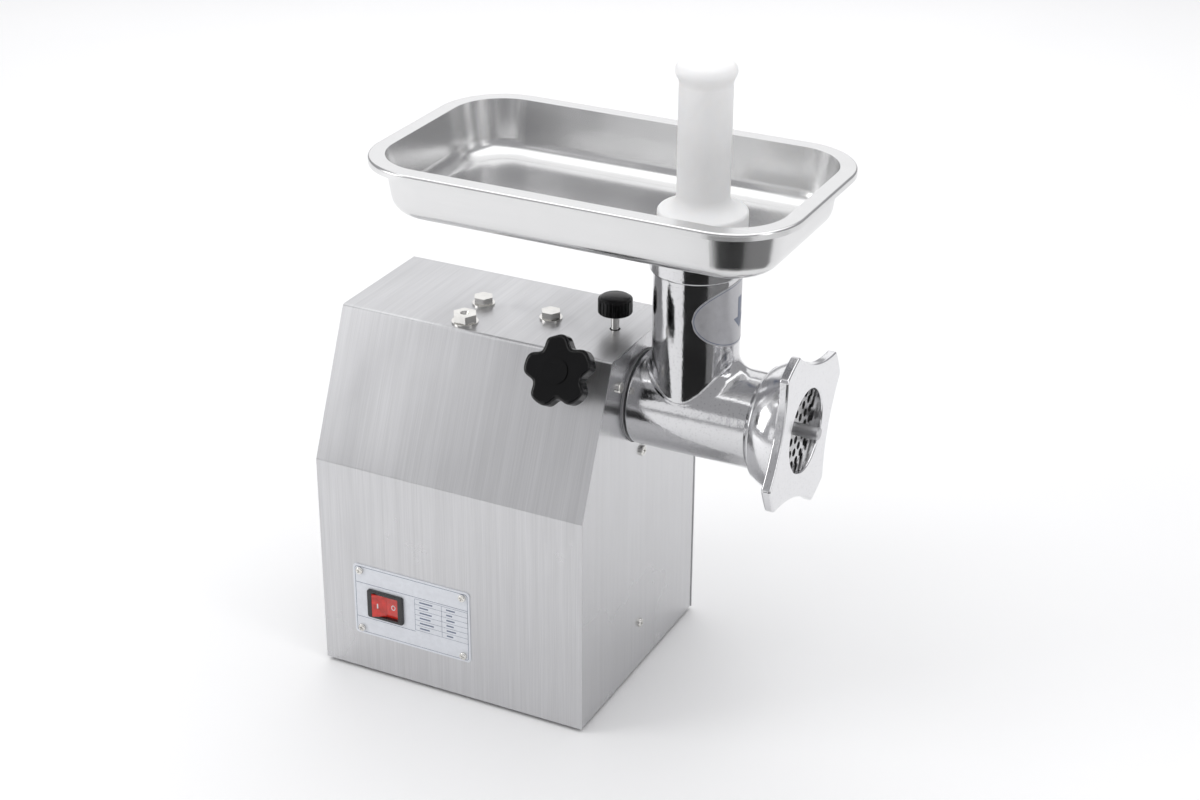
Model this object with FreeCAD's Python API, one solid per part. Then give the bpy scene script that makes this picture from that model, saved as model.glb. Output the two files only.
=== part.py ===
"""Electric meat grinder: a folded stainless casing with its motor and two-stage gearbox, and a
cast head with auger, knife, perforated plate, ring nut, feed tray and pusher.

Millimetres. The origin is on the floor under the middle of the casing, +X points out along the
grinding head, -Y is the front with the switch, +Z is up.
"""
import FreeCAD
import Part
import math
import os

# ---- casing -----------------------------------------------------------------------------
casing_length = 220.0       # along X, over the folded wrap
casing_depth = 194.6        # along Y, over the upright walls
wall_height = 171.5         # upright part of the front and back walls
roof_rise = 107.0           # from the crease up to the flat top
roof_inset = 46.0           # how far each slope leans in over that rise
foot_show = 3.0             # what shows of the feet under the casing
sheet = 1.2                 # stainless sheet
fold_radius = 3.0           # outside radius of the folds
panel_recess = 0.6          # end panels lie this far inside the ends of the wrap
panel_gap = 0.15            # seam between the end panels and the wrap
plate_raise = 4.0           # underside of the base plate above the lower edge of the casing
base_flange = 12.0          # height of the base plate's upturned edge
base_tab_rise = 44.0        # height of the base plate's two screw tabs
end_screw_rise = 34.0       # screws of the end panels into those tabs, above the base plate
base_tab_half = 20.0
foot_radius = 12.0
foot_margin = 22.0          # foot centre in from the ends and walls of the casing

# ---- fits -------------------------------------------------------------------------------
running_fit = 0.05          # radial, shaft in a bearing, screw in its thread
seat_fit = 0.02             # radial, pieces fixed on each other
loose_fit = 0.3             # between two bodies that only rest on or pass each other

# ---- drive ------------------------------------------------------------------------------
head_drop = 47.5            # head axis below the flat top
gear_centre = 48.0          # centre distance of both gear stages
first_teeth = (16, 48)      # motor pinion and first wheel
second_teeth = (12, 36)     # layshaft pinion and output wheel
addendum = 1.5
dedendum = 2.0
backlash = 0.3
pressure_angle = math.radians(20.0)
first_face = 8.0
second_face = 14.0
gear_gap = 3.0              # axial room beside each gear
case_wall = 4.0
case_room = 2.0             # between the gear tips and the gearbox wall
cover_thickness = 6.0
gasket_thickness = 0.5
bearing_wall = 16.0         # gearbox wall that holds the output bearing and its seal
motor_radius = 56.0
motor_shaft_radius = 6.0
layshaft_radius = 5.0
output_radius = 8.5
output_tail_radius = 7.5
hub_radius = 13.0           # output hub with the square socket
tang_side = 12.0            # square tail of the auger
tang_length = 13.0
motor_bell_length = 24.0
rear_bell_length = 28.0
fan_space = 24.0            # from the rear bell to the rear end of the casing
air_gap = 0.5
bolt_reach = 4.5            # motor through bolts outside the motor's radius

# ---- head -------------------------------------------------------------------------------
shoulder_gap = 1.0          # barrel shoulder to the end of the casing
spigot_length = 32.0
spigot_radius = 28.0
socket_wall = 6.5
barrel_length = 92.0
thread_length = 20.0
plate_radius = 35.0
plate_thickness = 8.0
plate_hole_radius = 3.0
plate_ring_shares = ((0.297, 7), (0.543, 14), (0.78, 20))   # of the plate's radius, and hole count
knife_thickness = 6.0
stud_radius = 4.75
stud_show = 10.0            # auger stud in front of the ring nut
ring_lip = 8.5
ring_flange = 7.0
ring_wall = 10.0            # ring nut outside the thread
ring_lobe_reach = 18.5      # lobes outside that
ring_lobe_half_angle = 10.0
ring_lobe_turn = 25.5       # the first lobe's angle from the level
neck_offset = 39.3          # neck axis in front of the barrel shoulder
neck_radius = 31.0
neck_wall = 4.0
neck_rim_proud = 2.6
neck_rim_height = 27.0
neck_height = 134.2         # head axis up to the top of the neck
neck_fillet = (4.5, 13.0)   # blend of the neck into the barrel, casing side and outlet side
barrel_rear_fillet = 3.0
auger_core = 10.0
auger_pitch = 30.0
flight_width = 4.5
flange_screw_circle = 45.2  # screws of the end panel round the head socket

# ---- tray and pusher --------------------------------------------------------------------
tray_length = 322.6
tray_width = 189.5
tray_depth = 41.7
tray_corner = 51.0
tray_rim = 12.0
tray_lip = 5.0
tray_sheet = 1.0
tray_draft = 6.0            # how far the walls lean in down to the floor
tray_bottom_fillet = 13.0
tray_overhang = 67.4        # tray centre behind the neck axis
tray_spigot_length = 12.0
pusher_lean = 2.7           # the loose pusher lies off the neck axis by this
pusher_clearance = 4.2      # radial, insert in the neck's bore
pusher_insert_length = 95.0
pusher_collar_radius = 31.5
pusher_collar_height = 16.0
pusher_shaft_radius = 18.5
pusher_bulb_radius = 21.2
pusher_height = 121.3       # from the tray floor to the top

# ---- clamp screws -----------------------------------------------------------------------
star_angle = 30.0           # star knob axis above the level, towards the front
star_setback = 24.5         # both clamp screws behind the drive end of the casing
star_reach = 96.0           # head axis to the middle of the star knob
star_radius = 25.5
star_thickness = 14.0
star_first_lobe = 76.2      # degrees, in the knob's own turn
star_stud_radius = 5.0
top_setback = 23.0
top_knob_radius = 12.5
top_knob_height = 11.5
top_knob_stand = 13.0       # bright stud between the casing and the knob
top_stud_radius = 3.0

# ---- front plate, switch and trim --------------------------------------------------------
rating_length = 100.0
rating_height = 60.0
rating_corner = 3.0
rating_thickness = 0.8
rating_start = 28.0         # plate's edge in from the rear end of the casing
rating_rise = 31.0          # plate's lower edge above the casing's lower edge
rating_screw_inset = (6.0, 5.0)
switch_from_plate = (27.7, 29.0)
bezel_size = (31.0, 24.0)
bezel_proud = 2.0
switch_body_size = (27.6, 20.6)
switch_depth = 25.0
rocker_radius = 12.3
rocker_height = 18.6
rocker_tilt = 12.0          # half the rocker's throw
label_half = (20.3, 24.0)
label_turn = -33.0
label_rise = 80.0           # label centre above the head axis
label_thickness = 0.2

# ---- electrics --------------------------------------------------------------------------
capacitor_radius = 19.0
capacitor_length = 72.0
capacitor_from_wall = 28.0
foot_screw_seat = 4.5       # screw heads lie this high inside the feet

# ---- derived radii ----------------------------------------------------------------------
bolt_circle = motor_radius + bolt_reach
barrel_bore = plate_radius - 8.7
barrel_radius = barrel_bore + 8.5
thread_radius = plate_radius + 3.0
knife_radius = plate_radius - 4.0
ring_opening = plate_radius - 4.6
ring_body_radius = thread_radius + ring_wall
ring_lobe_radius = ring_body_radius + ring_lobe_reach
neck_bore = neck_radius - neck_wall
neck_rim_radius = neck_radius + neck_rim_proud
pusher_insert_radius = neck_bore - pusher_clearance
thrust_radius = barrel_bore - 4.3

# ---- derived places ---------------------------------------------------------------------
drive_end = casing_length / 2
rear_end = -casing_length / 2
half_depth = casing_depth / 2
front_face = -half_depth
crease_z = foot_show + wall_height
top_z = crease_z + roof_rise
base_z = foot_show + plate_raise
slope_length = math.hypot(roof_inset, roof_rise)

head_z = top_z - head_drop
lay_z = head_z - gear_centre
motor_z = lay_z - gear_centre

barrel_start = drive_end + shoulder_gap
barrel_end = barrel_start + barrel_length
spigot_end = barrel_start - spigot_length
wall_front = spigot_end - 1.0
wall_rear = wall_front - bearing_wall
second_end = wall_rear - 2.0
second_start = second_end - second_face
first_end = second_start - gear_gap
first_start = first_end - first_face
case_rear = first_start - gear_gap
cover_front = case_rear - gasket_thickness
cover_rear = cover_front - cover_thickness
case_radius = gear_centre * second_teeth[1] / sum(second_teeth) + addendum + case_room + case_wall
pinion_radius = gear_centre * first_teeth[0] / sum(first_teeth) + addendum + case_room + case_wall
stack_end = cover_rear - motor_bell_length
stack_start = rear_end + fan_space + rear_bell_length
rear_bell_end = stack_start - rear_bell_length
panel_inner = drive_end - panel_recess - sheet

thread_start = barrel_end + 3.0
plate_front = thread_start + thread_length + 1.8
plate_back = plate_front - plate_thickness
ring_front = plate_front + ring_lip
ring_back = thread_start + 1.0
neck_x = barrel_start + neck_offset
neck_top = head_z + neck_height
tray_bottom = neck_top + loose_fit
tray_floor = tray_bottom + tray_sheet
tray_top = tray_bottom + tray_depth
tray_x = neck_x - tray_overhang
pusher_x = neck_x + pusher_lean
pusher_rest = tray_floor + loose_fit

star_x = drive_end - star_setback
top_knob_x = drive_end - top_setback
star_way = FreeCAD.Vector(0, -math.cos(math.radians(star_angle)), math.sin(math.radians(star_angle)))
screw_tip = spigot_radius + loose_fit

rating_x = rear_end + rating_start
rating_z = foot_show + rating_rise
switch_x = rating_x + switch_from_plate[0]
switch_z = rating_z + switch_from_plate[1]
plate_face = front_face - rating_thickness
rocker_y = front_face + 2.5

capacitor_y = half_depth - capacitor_from_wall
capacitor_z = base_z + sheet + 4.0 + capacitor_radius


# ---- helpers ----------------------------------------------------------------------------
def vec(x, y, z):
    return FreeCAD.Vector(x, y, z)


def rod_x(radius, x0, x1, z, y=0.0):
    """Cylinder along X."""
    return Part.makeCylinder(radius, x1 - x0, vec(x0, y, z), vec(1, 0, 0))


def tube_x(outer, inner, x0, x1, z, y=0.0):
    return rod_x(outer, x0, x1, z, y).cut(rod_x(inner, x0 - 1, x1 + 1, z, y))


def rod_y(radius, y0, y1, x, z):
    """Cylinder along Y."""
    return Part.makeCylinder(radius, y1 - y0, vec(x, y0, z), vec(0, 1, 0))


def rod_z(radius, z0, z1, x, y):
    """Cylinder along Z."""
    return Part.makeCylinder(radius, z1 - z0, vec(x, y, z0), vec(0, 0, 1))


def rod_star(radius, t0, t1):
    """Cylinder on the star knob's axis, between two distances from the head axis."""
    start = vec(star_x, 0, head_z) + star_way * t0
    return Part.makeCylinder(radius, t1 - t0, start, star_way)


def block(x0, x1, y0, y1, z0, z1):
    return Part.makeBox(x1 - x0, y1 - y0, z1 - z0, vec(x0, y0, z0))


def prism(points, way):
    """Straight-sided solid over a closed polygon."""
    return Part.Face(Part.makePolygon(points + points[:1])).extrude(way)


def hexagon(flats, centre, way, height):
    """Hexagonal prism standing on centre along way."""
    corner = flats / math.sqrt(3)
    ring = [vec(corner * math.cos(k * math.pi / 3), corner * math.sin(k * math.pi / 3), 0)
            for k in range(6)]
    solid = prism(ring, vec(0, 0, height))
    turn = FreeCAD.Rotation(vec(0, 0, 1), way)
    return solid.transformGeometry(FreeCAD.Placement(centre, turn).toMatrix())


def edge_filter(shape, test):
    """Edges whose every end and middle point passes the test."""
    picked = []
    for edge in shape.Edges:
        first, last = edge.ParameterRange
        points = [edge.valueAt(first + (last - first) * k / 4) for k in range(5)]
        if all(test(p) for p in points):
            picked.append(edge)
    return picked


def pan_screw(head_radius, head_height, shank_radius, shank_length, seat, way):
    """Pan-head screw with a cross recess: the seat is under the head, way points out of it."""
    head = Part.makeCylinder(head_radius, head_height, seat, way)
    rim = [e for e in head.Edges
           if e.Curve.TypeId == "Part::GeomCircle" and (e.Curve.Center - seat).dot(way) > 0.5 * head_height]
    head = head.makeFillet(head_height * 0.45, rim)
    shank = Part.makeCylinder(shank_radius, shank_length, seat - way * shank_length, way)
    side = way.cross(vec(0.3, 0.5, 0.8)).normalize()
    other = way.cross(side)
    screw = head.fuse(shank)
    for long_way, short_way in ((side, other), (other, side)):
        reach = head_radius * 0.6
        half = head_radius * 0.11
        corner = seat + way * (head_height * 0.55)
        points = [corner + long_way * a * reach + short_way * b * half
                  for a, b in ((-1, -1), (1, -1), (1, 1), (-1, 1))]
        screw = screw.cut(prism(points, way * head_height))
    return screw


def ball_bearing(inner, outer, x0, x1, z):
    """Sealed bearing: two rings and the shields between them, as one solid."""
    body = tube_x(outer, inner, x0, x1, z)
    third = (outer - inner) / 3
    for start in (x0 - 1.0, x1 - 0.6):
        body = body.cut(tube_x(outer - third, inner + third, start, start + 1.6, z))
    return body


def involute(base, radius):
    """Polar angle of an involute of the base circle where it crosses a radius."""
    roll = math.sqrt(max((radius / base) ** 2 - 1, 0))
    return roll - math.atan(roll)


def gear(teeth, pitch_radius, x0, x1, z, tooth_at):
    """Spur gear along X with involute flanks; one tooth points at tooth_at degrees from +Y."""
    base = pitch_radius * math.cos(pressure_angle)
    tip = pitch_radius + addendum
    root = pitch_radius - dedendum
    half_tooth = (math.pi * pitch_radius / teeth - backlash / 2) / (2 * pitch_radius)
    start = max(base, root + 0.1)
    radii = [start + (tip - start) * k / 4 for k in range(5)]
    spread = [half_tooth + involute(base, pitch_radius) - involute(base, r) for r in radii]

    def at(radius, angle):
        return vec(x0, radius * math.cos(angle), z + radius * math.sin(angle))

    edges = []
    step = 2 * math.pi / teeth
    for k in range(teeth):
        middle = math.radians(tooth_at) + k * step
        rise = [at(r, middle - s) for r, s in zip(radii, spread)]
        fall = [at(r, middle + s) for r, s in zip(radii, spread)][::-1]
        foot_in = at(root, middle - spread[0])
        foot_out = at(root, middle + spread[0])
        next_foot = at(root, middle + step - spread[0])
        edges.append(Part.makeLine(foot_in, rise[0]))
        for flank in (rise, fall):
            curve = Part.BSplineCurve()
            curve.interpolate(flank)
            edges.append(curve.toShape())
            if flank is rise:
                edges.append(Part.Arc(rise[-1], at(tip, middle), fall[0]).toShape())
        edges.append(Part.makeLine(fall[-1], foot_out))
        edges.append(Part.Arc(foot_out, at(root, middle + step / 2), next_foot).toShape())
    face = Part.Face(Part.Wire(edges))
    return face.extrude(vec(x1 - x0, 0, 0))


def graded_blend(shape, middle, rear_radius, front_radius):
    """Blend the saddle edges of two crossing cylinders, growing from the rear to the front."""
    document = FreeCAD.newDocument("blend")
    base = document.addObject("Part::Feature", "base")
    base.Shape = shape
    blend = document.addObject("Part::Fillet", "blend")
    blend.Base = base
    picked = []
    for number, edge in enumerate(shape.Edges, 1):
        if edge.Curve.TypeId in ("Part::GeomCircle", "Part::GeomLine"):
            continue
        first, last = edge.ParameterRange
        ends = [front_radius if edge.valueAt(u).x > middle else rear_radius for u in (first, last)]
        picked.append((number, ends[0], ends[1]))
    blend.Edges = picked
    document.recompute()
    result = blend.Shape.copy()
    FreeCAD.closeDocument("blend")
    return result


def gear_pair_radii(teeth):
    unit = gear_centre / sum(teeth)
    return teeth[0] * unit, teeth[1] * unit


# ---- casing pieces ----------------------------------------------------------------------
def house_points(inset, x, bottom):
    """Corners of the casing's section, moved in by inset, from the lower front corner."""
    wall = half_depth - inset
    crease = crease_z - inset * (slope_length - roof_rise) / roof_inset
    top = top_z - inset
    top_half = half_depth - (inset * slope_length + (roof_rise - inset) * roof_inset) / roof_rise
    front = [(-wall, bottom), (-wall, crease), (-top_half, top)]
    ring = front + [(-y, z) for y, z in reversed(front)]
    return [vec(x, y, z) for y, z in ring]


def house_prism(inset, x0, x1, bottom, radius):
    """Solid of the casing's section with its four folds rounded."""
    solid = prism(house_points(inset, x0, bottom), vec(x1 - x0, 0, 0))
    folds = [e for e in solid.Edges
             if abs(e.Vertexes[0].X - e.Vertexes[1].X) > 1 and e.Vertexes[0].Z > bottom + 1]
    return solid.makeFillet(radius, folds)


def slope_hole(radius):
    """Cutter on the star knob's axis through the front slope."""
    return rod_star(radius, 56.0, 76.0)


def top_bolt_places():
    """Centres of the two motor and gearbox bolts in the flat top."""
    return [(case_rear + 5.5, -4.5), (stack_end - 20.0, -4.0)]


def earth_bolt_place():
    return (stack_end - 16.0, -38.5)


def rating_screw_places():
    dx, dz = rating_screw_inset
    return [(rating_x + a, rating_z + b)
            for a in (dx, rating_length - dx) for b in (dz, rating_height - dz)]


def housing_shell():
    """Front, slopes, top and back folded from one sheet."""
    outer = house_prism(0, rear_end, drive_end, foot_show, fold_radius)
    inner = house_prism(sheet, rear_end - 1, drive_end + 1, foot_show - 5, fold_radius - sheet)
    shell = outer.cut(inner)
    holes = [slope_hole(star_stud_radius + 1.5),
             rod_z(top_stud_radius + 1.0, top_z - 5, top_z + 5, top_knob_x, 0)]
    for x, y in top_bolt_places() + [earth_bolt_place()]:
        holes.append(rod_z(3.3, top_z - 5, top_z + 5, x, y))
    for x, z in rating_screw_places():
        holes.append(rod_y(1.7, front_face - 2, front_face + 4, x, z))
    half_w = switch_body_size[0] / 2 + 0.3
    half_h = switch_body_size[1] / 2 + 0.3
    holes.append(block(switch_x - half_w, switch_x + half_w, front_face - 2, front_face + 4,
                       switch_z - half_h, switch_z + half_h))
    return shell.cut(holes)


def end_panel(side):
    """Flat end panel inside the wrap, with bent tabs that the wrap is spot-welded to."""
    outer_x = side * (drive_end - panel_recess)
    inner_x = side * panel_inner
    low, high = min(outer_x, inner_x), max(outer_x, inner_x)
    inset = sheet + panel_gap
    panel = house_prism(inset, low, high, foot_show, fold_radius - sheet)
    tab_low, tab_high = (high - 12.0, high) if side > 0 else (low, low + 12.0)
    wall = half_depth - inset
    for z0 in (60.0, 120.0):
        for y0, y1 in ((-wall, -wall + sheet), (wall - sheet, wall)):
            panel = panel.fuse(block(tab_low, tab_high, y0, y1, z0, z0 + 25.0))
    panel = panel.fuse(block(tab_low, tab_high, -18.0, 18.0, top_z - inset - sheet, top_z - inset))
    return panel.cut(rod_x(2.4, low - 15, high + 15, base_z + end_screw_rise))


def flange_screw_places():
    """Three screws round the head socket, in (y, z)."""
    places = []
    for angle in (30.0, 150.0, 270.0):
        turn = math.radians(angle)
        places.append((flange_screw_circle * math.cos(turn), head_z + flange_screw_circle * math.sin(turn)))
    return places


def drive_end_panel():
    panel = end_panel(1)
    holes = [rod_x(spigot_radius + socket_wall + 0.5, drive_end - 20, drive_end + 5, head_z)]
    for y, z in flange_screw_places():
        holes.append(rod_x(2.4, drive_end - 5, drive_end + 5, z, y))
    return panel.cut(holes)


def gland_place():
    return (half_depth - 45.0, base_z + 25.0)


def rear_end_panel():
    """Rear panel with the fan's slots and the hole for the cable gland."""
    panel = end_panel(-1)
    y, z = gland_place()
    holes = [rod_x(6.3, rear_end - 5, rear_end + 5, z, y)]
    for row in range(7):
        height = motor_z - 36.0 + row * 12.0
        half = math.sqrt(45.0 ** 2 - (height - motor_z) ** 2) - 3.0
        slot = block(rear_end - 5, rear_end + 5, -half, half, height - 2.2, height + 2.2)
        for end in (-half, half):
            slot = slot.fuse(rod_x(2.2, rear_end - 5, rear_end + 5, height, end))
        holes.append(slot)
    return panel.cut(holes)


def foot_places():
    dx = drive_end - foot_margin
    dy = half_depth - foot_margin
    return [(x, y) for x in (-dx, dx) for y in (-dy, dy)]


def base_plate():
    """Tray-shaped base plate with an upturned edge and a screw tab at each end."""
    half_x = panel_inner - 0.1
    half_y = half_depth - sheet - 0.15
    plate = block(-half_x, half_x, -half_y, half_y, base_z, base_z + base_flange)
    plate = plate.cut(block(-half_x + sheet, half_x - sheet, -half_y + sheet, half_y - sheet,
                            base_z + sheet, base_z + base_flange + 1))
    for side in (-1, 1):
        x0, x1 = sorted((side * half_x, side * (half_x - sheet)))
        tab = block(x0, x1, -base_tab_half, base_tab_half, base_z + sheet, base_z + base_tab_rise)
        plate = plate.fuse(tab)
    holes = [rod_z(2.2, base_z - 2, base_z + 5, x, y) for x, y in foot_places() + cradle_screw_places()]
    holes.append(rod_z(2.2, base_z - 2, base_z + 5, *clamp_screw_place()))
    holes.append(rod_x(1.9, rear_end, drive_end, base_z + end_screw_rise))
    return plate.cut(holes)


def rubber_feet():
    """Four moulded feet, recessed for their screws."""
    feet = []
    for x, y in foot_places():
        foot = Part.makeCone(foot_radius - 1.5, foot_radius, base_z, vec(x, y, 0), vec(0, 0, 1))
        rim = edge_filter(foot, lambda p: abs(p.z) < 0.01 and math.hypot(p.x - x, p.y - y) > 5)
        foot = foot.makeFillet(1.0, rim)
        foot = foot.cut([rod_z(5.0, -1, foot_screw_seat, x, y), rod_z(2.1, 0, base_z + 1, x, y)])
        feet.append(foot)
    return Part.makeCompound(feet)


def panel_screws():
    """Screws in the two end panels: three at the head socket and one low down at each end."""
    screws = []
    face = drive_end - panel_recess
    for y, z in flange_screw_places():
        screws.append(pan_screw(4.0, 2.4, 2.2, 8.0, vec(face, y, z), vec(1, 0, 0)))
    for side in (-1, 1):
        seat = vec(side * face, 0, base_z + end_screw_rise)
        screws.append(pan_screw(3.4, 2.2, 1.85, 7.0, seat, vec(side, 0, 0)))
    return Part.makeCompound(screws)


# ---- front plate and switch ---------------------------------------------------------------
def rating_plate():
    """Thin front plate with rounded corners, cut out for the switch."""
    plate = block(rating_x, rating_x + rating_length, plate_face, front_face,
                  rating_z, rating_z + rating_height)
    upright = [e for e in plate.Edges if abs(e.Vertexes[0].Y - e.Vertexes[1].Y) > 0.1]
    plate = plate.makeFillet(rating_corner, upright)
    half_w = switch_body_size[0] / 2 + 0.3
    half_h = switch_body_size[1] / 2 + 0.3
    holes = [block(switch_x - half_w, switch_x + half_w, plate_face - 1, front_face + 1,
                   switch_z - half_h, switch_z + half_h)]
    for x, z in rating_screw_places():
        holes.append(rod_y(1.7, plate_face - 1, front_face + 1, x, z))
    return plate.cut(holes)


def rating_plate_screws():
    return Part.makeCompound([pan_screw(3.0, 1.9, 1.5, 6.0, vec(x, plate_face, z), vec(0, -1, 0))
                              for x, z in rating_screw_places()])


def switch_body():
    """Snap-in switch body with its bezel, hollowed to the rocker's sweep."""
    bw, bh = bezel_size[0] / 2, bezel_size[1] / 2
    sw, sh = switch_body_size[0] / 2, switch_body_size[1] / 2
    bezel = block(switch_x - bw, switch_x + bw, plate_face - bezel_proud, plate_face,
                  switch_z - bh, switch_z + bh)
    front = plate_face - bezel_proud
    upright = [e for e in bezel.Edges if abs(e.Vertexes[0].Y - e.Vertexes[1].Y) > 0.1]
    bezel = bezel.makeFillet(2.0, upright)
    bezel = bezel.makeFillet(0.8, edge_filter(bezel, lambda p: abs(p.y - front) < 0.01))
    body = block(switch_x - sw, switch_x + sw, plate_face, front_face + switch_depth,
                 switch_z - sh, switch_z + sh)
    body = bezel.fuse(body)
    reach = rocker_height / 2 + 0.15
    sweep = rod_z(rocker_radius + 0.2, switch_z - reach, switch_z + reach, switch_x, rocker_y)
    pivot = rod_z(1.2 + running_fit, switch_z - sh - 1, switch_z + sh + 1, switch_x, rocker_y)
    return body.cut([sweep, pivot])


def rocker():
    """Rocker: a drum about its upright pivot, topped by two flats that meet in a shallow valley."""
    z0 = switch_z - rocker_height / 2
    lean = math.tan(math.radians(rocker_tilt))
    valley = 2.6
    half = rocker_radius + 2
    back = 3.5
    wing = -valley - half * lean
    points = [(-half, back), (-half, wing), (0, -valley), (half, wing), (half, back)]
    profile = prism([vec(switch_x + a, rocker_y + b, z0) for a, b in points], vec(0, 0, rocker_height))
    drum = rod_z(rocker_radius, z0, z0 + rocker_height, switch_x, rocker_y).common(profile)
    pin_end = switch_body_size[1] / 2
    drum = drum.fuse(rod_z(1.2, switch_z - pin_end, switch_z + pin_end, switch_x, rocker_y))
    drum.rotate(vec(switch_x, rocker_y, 0), vec(0, 0, 1), rocker_tilt)
    return drum


def switch_terminals():
    back = front_face + switch_depth
    blades = []
    for dx in (-8.0, 8.0):
        for dz in (-5.0, 5.0):
            blades.append(block(switch_x + dx - 0.4, switch_x + dx + 0.4, back, back + 9.0,
                                switch_z + dz - 3.1, switch_z + dz + 3.1))
    return Part.makeCompound(blades)


# ---- electrics on the base -----------------------------------------------------------------
def clamp_screw_place():
    return (stack_end - 6.0, capacitor_y - 22.0)


def capacitor():
    start = stack_end - capacitor_length / 2
    can = rod_x(capacitor_radius, start, start + capacitor_length, capacitor_z, capacitor_y)
    can = can.makeFillet(2.0, [e for e in can.Edges if e.Curve.TypeId == "Part::GeomCircle"])
    for dy in (-6.0, 6.0):
        can = can.fuse(block(start - 7.0, start + 1.0, capacitor_y + dy - 0.4, capacitor_y + dy + 0.4,
                             capacitor_z - 3.1, capacitor_z + 3.1))
    return can


def capacitor_clamp():
    """Band round the capacitor with a foot on the base plate."""
    x0, x1 = stack_end - 12.0, stack_end
    floor = base_z + sheet
    foot = block(x0, x1, capacitor_y - 28.0, capacitor_y + 6.0, floor, floor + 2.0)
    web = block(x0, x1, capacitor_y - 6.0, capacitor_y + 6.0, floor, capacitor_z - capacitor_radius + 1.0)
    band = rod_x(capacitor_radius + 1.6, x0, x1, capacitor_z, capacitor_y)
    clamp = foot.fuse([web, band])
    clamp = clamp.cut(rod_x(capacitor_radius + seat_fit, x0 - 1, x1 + 1, capacitor_z, capacitor_y))
    return clamp.cut(rod_z(2.1, floor - 1, floor + 4, *clamp_screw_place()))


def cable_gland():
    """Threaded gland body: hexagon outside the rear panel, bore for the mains cable."""
    y, z = gland_place()
    outer = rear_end + panel_recess
    body = hexagon(17.0, vec(outer, y, z), vec(-1, 0, 0), 5.0)
    body = body.fuse([rod_x(7.2, outer - 13.0, outer - 5.0, z, y),
                      rod_x(6.0, outer, outer + 14.0, z, y)])
    dome = edge_filter(body, lambda p: abs(p.x - outer + 13.0) < 0.01)
    body = body.makeFillet(1.8, dome)
    return body.cut(rod_x(3.75, outer - 20, outer + 20, z, y))


def gland_nut():
    y, z = gland_place()
    inner = rear_end + panel_recess + sheet
    nut = hexagon(17.0, vec(inner, y, z), vec(1, 0, 0), 4.0)
    return nut.cut(rod_x(6.0 + seat_fit, inner - 1, inner + 6, z, y))


# ---- motor ---------------------------------------------------------------------------------
def bolt_places():
    """Motor through bolts, in (y, z)."""
    places = []
    for angle in (30.0, 150.0, 210.0, 330.0):
        turn = math.radians(angle)
        places.append((bolt_circle * math.cos(turn), motor_z + bolt_circle * math.sin(turn)))
    return places


def bell(x_open, x_closed):
    """Cast end bell: a cup over the windings with a bearing seat, air holes and four bolt lugs."""
    low, high = min(x_open, x_closed), max(x_open, x_closed)
    way = 1 if x_closed > x_open else -1
    cup = rod_x(motor_radius, low, high, motor_z)
    wall0, wall1 = sorted((x_open - way, x_closed - way * 4.0))
    cup = cup.cut(rod_x(motor_radius - 3.5, wall0, wall1, motor_z))
    seat0, seat1 = sorted((x_closed - way * 14.0, x_closed - way * 4.0))
    cup = cup.fuse(rod_x(20.0, seat0, seat1, motor_z))
    for y, z in bolt_places():
        lug0, lug1 = sorted((x_open, x_open + way * 8.0))
        lug = rod_x(6.5, lug0, lug1, z, y)
        cup = cup.fuse(lug.cut(rod_x(motor_radius - 3.5, low - 1, high + 1, motor_z)))
    cutters = [rod_x(16.0 + seat_fit, seat0, seat1, motor_z), rod_x(9.0, low - 1, high + 1, motor_z)]
    hole0, hole1 = sorted((x_closed - way * 5.0, x_closed + way))
    for k in range(8):
        turn = math.radians(22.5 + 45.0 * k)
        cutters.append(rod_x(6.0, hole0, hole1, motor_z + 36.0 * math.sin(turn), 36.0 * math.cos(turn)))
    for y, z in bolt_places():
        cutters.append(rod_x(2.6, low - 1, high + 1, z, y))
    return cup.cut(cutters)


def drive_end_bell():
    return bell(stack_end, cover_rear)


def rear_bell():
    return bell(stack_start, rear_bell_end)


def motor_stator():
    """Laminated ring with winding slots open to the bore."""
    bore = motor_shaft_radius + 26.5
    stack = tube_x(motor_radius, bore, stack_start, stack_end, motor_z)
    slots = []
    for k in range(16):
        turn = 2 * math.pi * k / 16
        slot = block(stack_start - 1, stack_end + 1, bore - 1, bore + 9.0, -3.0, 3.0)
        slot.rotate(vec(0, 0, 0), vec(1, 0, 0), math.degrees(turn))
        slot.translate(vec(0, 0, motor_z))
        slots.append(slot)
    return stack.cut(slots)


def motor_windings():
    """Copper end turns on both faces of the stack."""
    rings = []
    for x0, x1 in ((stack_start - 12.0, stack_start), (stack_end, stack_end + 9.0)):
        ring = tube_x(motor_radius - 6.0, motor_shaft_radius + 28.0, x0, x1, motor_z)
        outer_end = x0 if x0 < stack_start else x1
        rings.append(ring.makeFillet(3.0, edge_filter(ring, lambda p: abs(p.x - outer_end) < 0.01)))
    return Part.makeCompound(rings)


def motor_bolts():
    """Through bolts from the rear bell into the gearbox cover."""
    bolts = []
    for y, z in bolt_places():
        start = stack_start - 8.0
        shank = rod_x(2.5, start, cover_front - 1.0, z, y)
        bolts.append(shank.fuse(hexagon(8.0, vec(start, y, z), vec(-1, 0, 0), 3.5)))
    return Part.makeCompound(bolts)


def motor_bearings():
    inner = motor_shaft_radius + seat_fit
    rear = rear_bell_end + 4.0
    drive = cover_rear - 14.0
    return Part.makeCompound([ball_bearing(inner, 16.0, x, x + 10.0, motor_z) for x in (rear, drive)])


def motor_shaft():
    """Shaft from the fan to the pinion, as two diameters."""
    shaft = rod_x(motor_shaft_radius, rear_bell_end - 13.0, first_end + 1.0, motor_z)
    core_seat = rod_x(motor_shaft_radius + 2.0, stack_start - 3.0, stack_end + 3.0, motor_z)
    return shaft.fuse(core_seat)


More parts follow.
